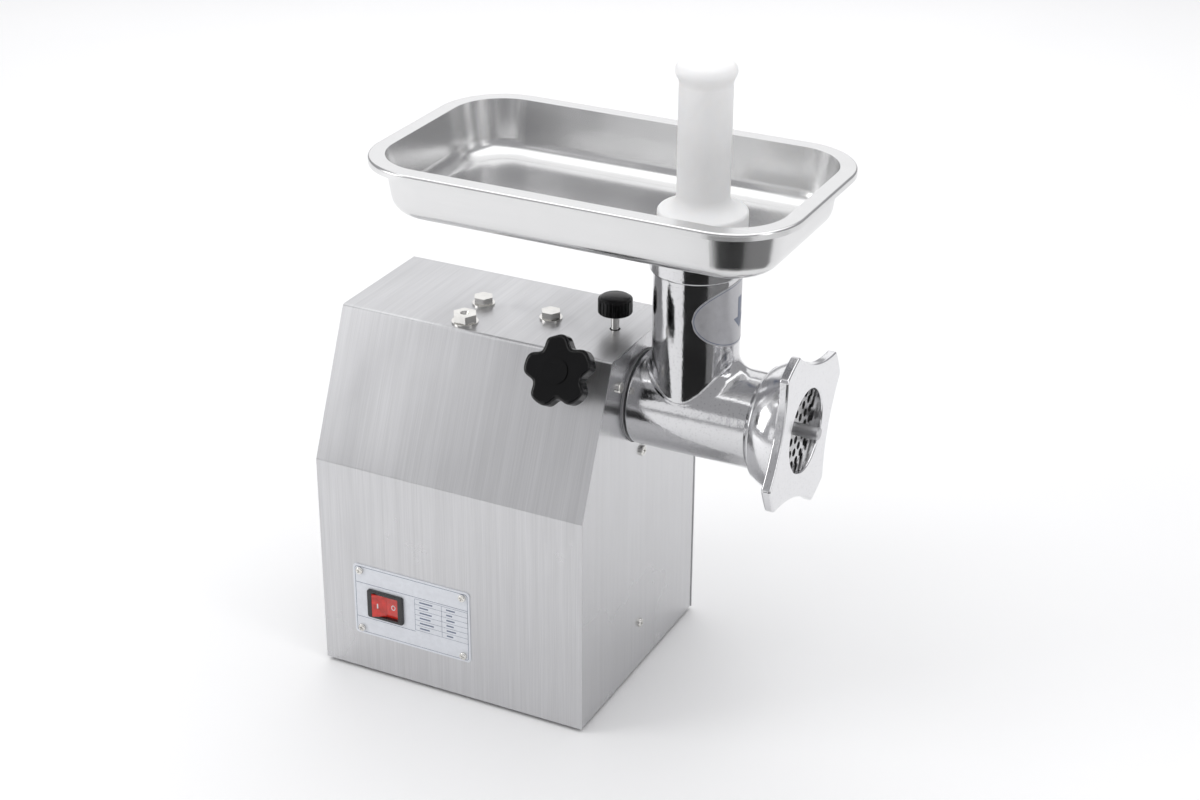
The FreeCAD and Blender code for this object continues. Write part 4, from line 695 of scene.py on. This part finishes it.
class GRINDER_OT_feed_label(bpy.types.Operator):
    """Oval label on the neck with a plain feed sign"""
    bl_idname = "grinder.feed_label"
    bl_label = "Feed label"

    def execute(self, context):
        finish = context.scene.grinder_finish
        settings = context.scene.grinder_print
        silver = printed("label_silver", (0.52, 0.52, 0.54), metallic=0.55, rough=(0.28, 0.40))
        wear(["feed_label"], silver)
        neck = context.scene.grinder_neck
        radius = neck.label_radius
        half_u, half_v = neck.label_half

        def on_neck(u, v, lift):
            turn = neck.label_turn + u / radius
            reach = radius + lift
            return (neck.axis_x + reach * math.cos(turn), reach * math.sin(turn), LABEL_MIDDLE.z + v)

        ground = Stencil(on_neck, neck.label_depth)
        border = Stencil(on_neck, neck.label_depth + settings.proud)
        sign = Stencil(on_neck, neck.label_depth + settings.proud)
        self.fill(ground, half_u, half_v, 56)
        inset, line = neck.border_inset, neck.border_line
        border.stroke(oval(half_u - inset, half_v - inset, 72), line, closed=True)
        self.arrow(sign, neck.arrow_size)
        paper = ground.build("label_ground", silver, "head")
        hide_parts("feed_label")
        ink = printed("label_ink", finish.ink)
        border.build("label_border", ink, "head")
        sign.build("label_arrow", ink, "head")
        return {"FINISHED"}

    def fill(self, drawing, half_u, half_v, strips):
        """Upright strips that fill an oval, narrow enough to follow the neck."""
        for k in range(strips):
            ends = [half_u * (2 * n / strips - 1) for n in (k, k + 1)]
            reach = [half_v * math.sqrt(max(0.0, 1 - (u / half_u) ** 2)) for u in ends]
            low, high = ends
            corners = [(low, -reach[0]), (high, -reach[1]), (high, reach[1]), (low, reach[0])]
            drawing.patch([c for n, c in enumerate(corners) if c not in corners[:n]])

    def arrow(self, drawing, size):
        """Plain arrow pointing down the feed."""
        for side in (-1, 1):
            for k in range(5):
                u0, u1 = side * size * k / 5, side * size * (k + 1) / 5
                low, high = sorted((u0, u1))
                tip = [-1.5 * size + abs(u) for u in (low, high)]
                corners = [(low, tip[0]), (high, tip[1]), (high, -0.4 * size), (low, -0.4 * size)]
                drawing.patch([c for n, c in enumerate(corners) if c not in corners[:n]])
        for k in range(-2, 2):
            drawing.bar(0.2 * size * k, -0.4 * size, 0.2 * size * (k + 1), 1.3 * size)


class GRINDER_OT_tray(bpy.types.Operator):
    """Pressed feed tray"""
    bl_idname = "grinder.tray"
    bl_label = "Feed tray"

    def execute(self, context):
        tone = context.scene.grinder_finish.tray
        wear(["feed_tray"], brushed("tray_steel", tone, (30.0, 900.0, 900.0), rough=(0.17, 0.26),
                                    depth=0.000004, contrast=0.8, aniso=0.2))
        return {"FINISHED"}


class GRINDER_OT_pusher(bpy.types.Operator):
    """Milky plastic pusher"""
    bl_idname = "grinder.pusher"
    bl_label = "Pusher"

    def execute(self, context):
        wear(["pusher"], waxy_plastic(context.scene.grinder_finish.plastic))
        return {"FINISHED"}


class GRINDER_OT_drive(bpy.types.Operator):
    """Motor, gearbox and electrics inside the casing"""
    bl_idname = "grinder.drive"
    bl_label = "Drive"

    def execute(self, context):
        wear(["drive_end_bell", "rear_bell", "gearbox_cover", "gearbox_housing"],
             cast_raw("cast_aluminium", (0.58, 0.58, 0.59)))
        wear(["motor_stator", "rotor_core"],
             brushed("lamination_steel", (0.34, 0.35, 0.37), (2000.0, 20.0, 20.0), rough=(0.4, 0.55)))
        wear(["motor_windings"], copper_wire((0.62, 0.27, 0.10)))
        wear(["motor_bearings", "output_bearings"], turned("bearing_steel", (0.64, 0.64, 0.65)))
        wear(["motor_shaft", "layshaft", "output_shaft"], turned("shaft_steel", (0.58, 0.58, 0.58)))
        wear(["motor_pinion", "layshaft_gear", "layshaft_pinion", "output_gear"],
             turned("gear_steel", (0.44, 0.43, 0.42), rough=(0.22, 0.36)))
        wear(["cooling_fan"], moulded("fan_plastic", (0.06, 0.06, 0.07)))
        wear(["gearbox_gasket"], moulded("gasket_fibre", (0.20, 0.26, 0.18), rough=(0.7, 0.9)))
        wear(["layshaft_bushes"], cast_raw("layshaft_bronze", (0.60, 0.38, 0.18)))
        wear(["oil_seals"], moulded("seal_rubber", (0.08, 0.04, 0.03), rough=(0.5, 0.7)))
        wear(["capacitor"], turned("can_aluminium", (0.72, 0.72, 0.73)))
        wear(["cable_gland", "gland_nut"], moulded("gland_nylon", (0.03, 0.03, 0.03), rough=(0.35, 0.5)))
        return {"FINISHED"}


def area_light(name, where, aim, size, power):
    """Rectangular light that faces a point."""
    data = bpy.data.lights.new(name, "AREA")
    data.shape = "RECTANGLE"
    data.size, data.size_y = size
    data.energy = power
    light = bpy.data.objects.new(name, data)
    light.location = where
    light.rotation_euler = (Vector(where) - Vector(aim)).to_track_quat("Z", "Y").to_euler()
    bpy.context.scene.collection.objects.link(light)


class GRINDER_OT_stage(bpy.types.Operator):
    """Pale floor, soft lights and camera"""
    bl_idname = "grinder.stage"
    bl_label = "Stage"

    def execute(self, context):
        studio = context.scene.grinder_studio
        self.floor(studio)
        self.sky(context, studio)
        self.lights(studio)
        self.cards(studio)
        self.camera(context, studio)
        return {"FINISHED"}

    def floor(self, studio):
        half = studio.floor_size / 2
        corners = [(-half, -half, 0), (half, -half, 0), (half, half, 0), (-half, half, 0)]
        made = Finish("floor_paper", Metallic=0.0, Specular_IOR_Level=0.2)
        smudge = made.group("smudge", Size=(3.0, 3.0, 3.0))
        made.tones(smudge.outputs["Patch"], shade(studio.floor_tone, 0.99), studio.floor_tone)
        made.roughness(smudge.outputs["Patch"], 0.75, 0.85)
        object_from("floor", corners, [(0, 1, 2, 3)], made.material)

    def sky(self, context, studio):
        world = bpy.data.worlds.new("studio_sky")
        context.scene.world = world
        world.use_nodes = True
        back = world.node_tree.nodes["Background"]
        back.inputs["Strength"].default_value = studio.sky_strength
        back.inputs["Color"].default_value = (0.97, 0.97, 1.0, 1.0)
        context.scene.view_settings.view_transform = "Standard"

    def lights(self, studio):
        middle = (0.05, 0.0, 0.25)
        area_light("key", (-1.5, -1.1, 0.95), middle, (0.9, 1.1), studio.key_power)
        area_light("fill", (1.9, -0.5, 0.9), middle, (0.5, 1.4), studio.fill_power)
        area_light("strip", (-0.45, -1.42, 0.50), (0.15, -0.03, 0.23), (0.3, 0.5), studio.strip_power)
        area_light("rear", (-0.75, 1.6, 1.05), middle, (2.2, 1.0), studio.rear_power)
        area_light("overhead", (0.1, 0.5, 3.2), (0.1, 0.5, 0.0), (4.6, 4.6), studio.top_power)

    def cards(self, studio):
        """Dark boards that only reflections meet, for the dark bands in the polished metal."""
        for name, tone, start, end, near, far in (("card_black", 0.012, -10.0, 50.0, 0.34, 1.10),
                                                  ("card_grey", 0.16, 50.0, 112.0, 0.36, 0.95)):
            made = Finish(name, Metallic=0.0, Specular_IOR_Level=0.1)
            smudge = made.group("smudge", Size=(2.0, 2.0, 2.0))
            made.tones(smudge.outputs["Patch"], (tone, tone, tone), shade((tone, tone, tone), 1.3))
            made.roughness(smudge.outputs["Patch"], 0.8, 0.9)
            board = object_from(name, self.fan(studio, start, end, near, far), [(0, 1, 2, 3, 4, 5)],
                                made.material)
            board.visible_camera = False
            board.visible_diffuse = False
            board.visible_shadow = False

    def fan(self, studio, start, end, near, far):
        """Corners of a flat fan just above the floor; its angles run from the front towards the head."""
        x, y = studio.card_centre
        middle = (start + end) / 2
        corners = []
        for turn, reach in ((start, near), (start, far), (middle, far), (end, far), (end, near),
                            (middle, near)):
            a = math.radians(turn)
            corners.append((x + reach * math.sin(a), y - reach * math.cos(a), studio.card_height))
        return corners

    def camera(self, context, studio):
        data = bpy.data.cameras.new("camera")
        data.lens = studio.lens
        data.sensor_width = 36.0
        camera = bpy.data.objects.new("camera", data)
        a, e = studio.azimuth, studio.elevation
        back = Vector((math.sin(a) * math.cos(e), -math.cos(a) * math.cos(e), math.sin(e)))
        camera.location = Vector(studio.target) + back * studio.distance
        turn = back.to_track_quat("Z", "Y").to_matrix() @ Matrix.Rotation(studio.roll, 3, "Z")
        camera.rotation_euler = turn.to_euler()
        context.scene.collection.objects.link(camera)
        context.scene.camera = camera


STEPS = ("casing", "fasteners", "front_plate", "switch", "knobs", "head", "feed_label", "tray", "pusher",
         "drive", "stage")


class GRINDER_PT_sidebar(bpy.types.Panel):
    """Lists the grinder's steps"""
    bl_idname = "GRINDER_PT_sidebar"
    bl_label = "Meat grinder"
    bl_space_type = "VIEW_3D"
    bl_region_type = "UI"
    bl_category = "Grinder"

    def draw(self, context):
        for step in STEPS:
            self.layout.operator("grinder." + step)


SETTINGS = {"grinder_studio": StudioSettings, "grinder_finish": FinishSettings,
            "grinder_print": PrintSettings, "grinder_neck": NeckSettings}
CLASSES = (*SETTINGS.values(), GRINDER_OT_casing, GRINDER_OT_fasteners, GRINDER_OT_front_plate,
           GRINDER_OT_switch, GRINDER_OT_knobs, GRINDER_OT_head, GRINDER_OT_feed_label, GRINDER_OT_tray,
           GRINDER_OT_pusher, GRINDER_OT_drive, GRINDER_OT_stage, GRINDER_PT_sidebar)


def register():
    for item in CLASSES:
        bpy.utils.register_class(item)
    for name, kind in SETTINGS.items():
        setattr(bpy.types.Scene, name, bpy.props.PointerProperty(type=kind))


def unregister():
    for name in SETTINGS:
        delattr(bpy.types.Scene, name)
    for item in reversed(CLASSES):
        bpy.utils.unregister_class(item)


def main():
    register()
    for step in STEPS:
        getattr(bpy.ops.grinder, step)()


if __name__ == "__main__":
    main()
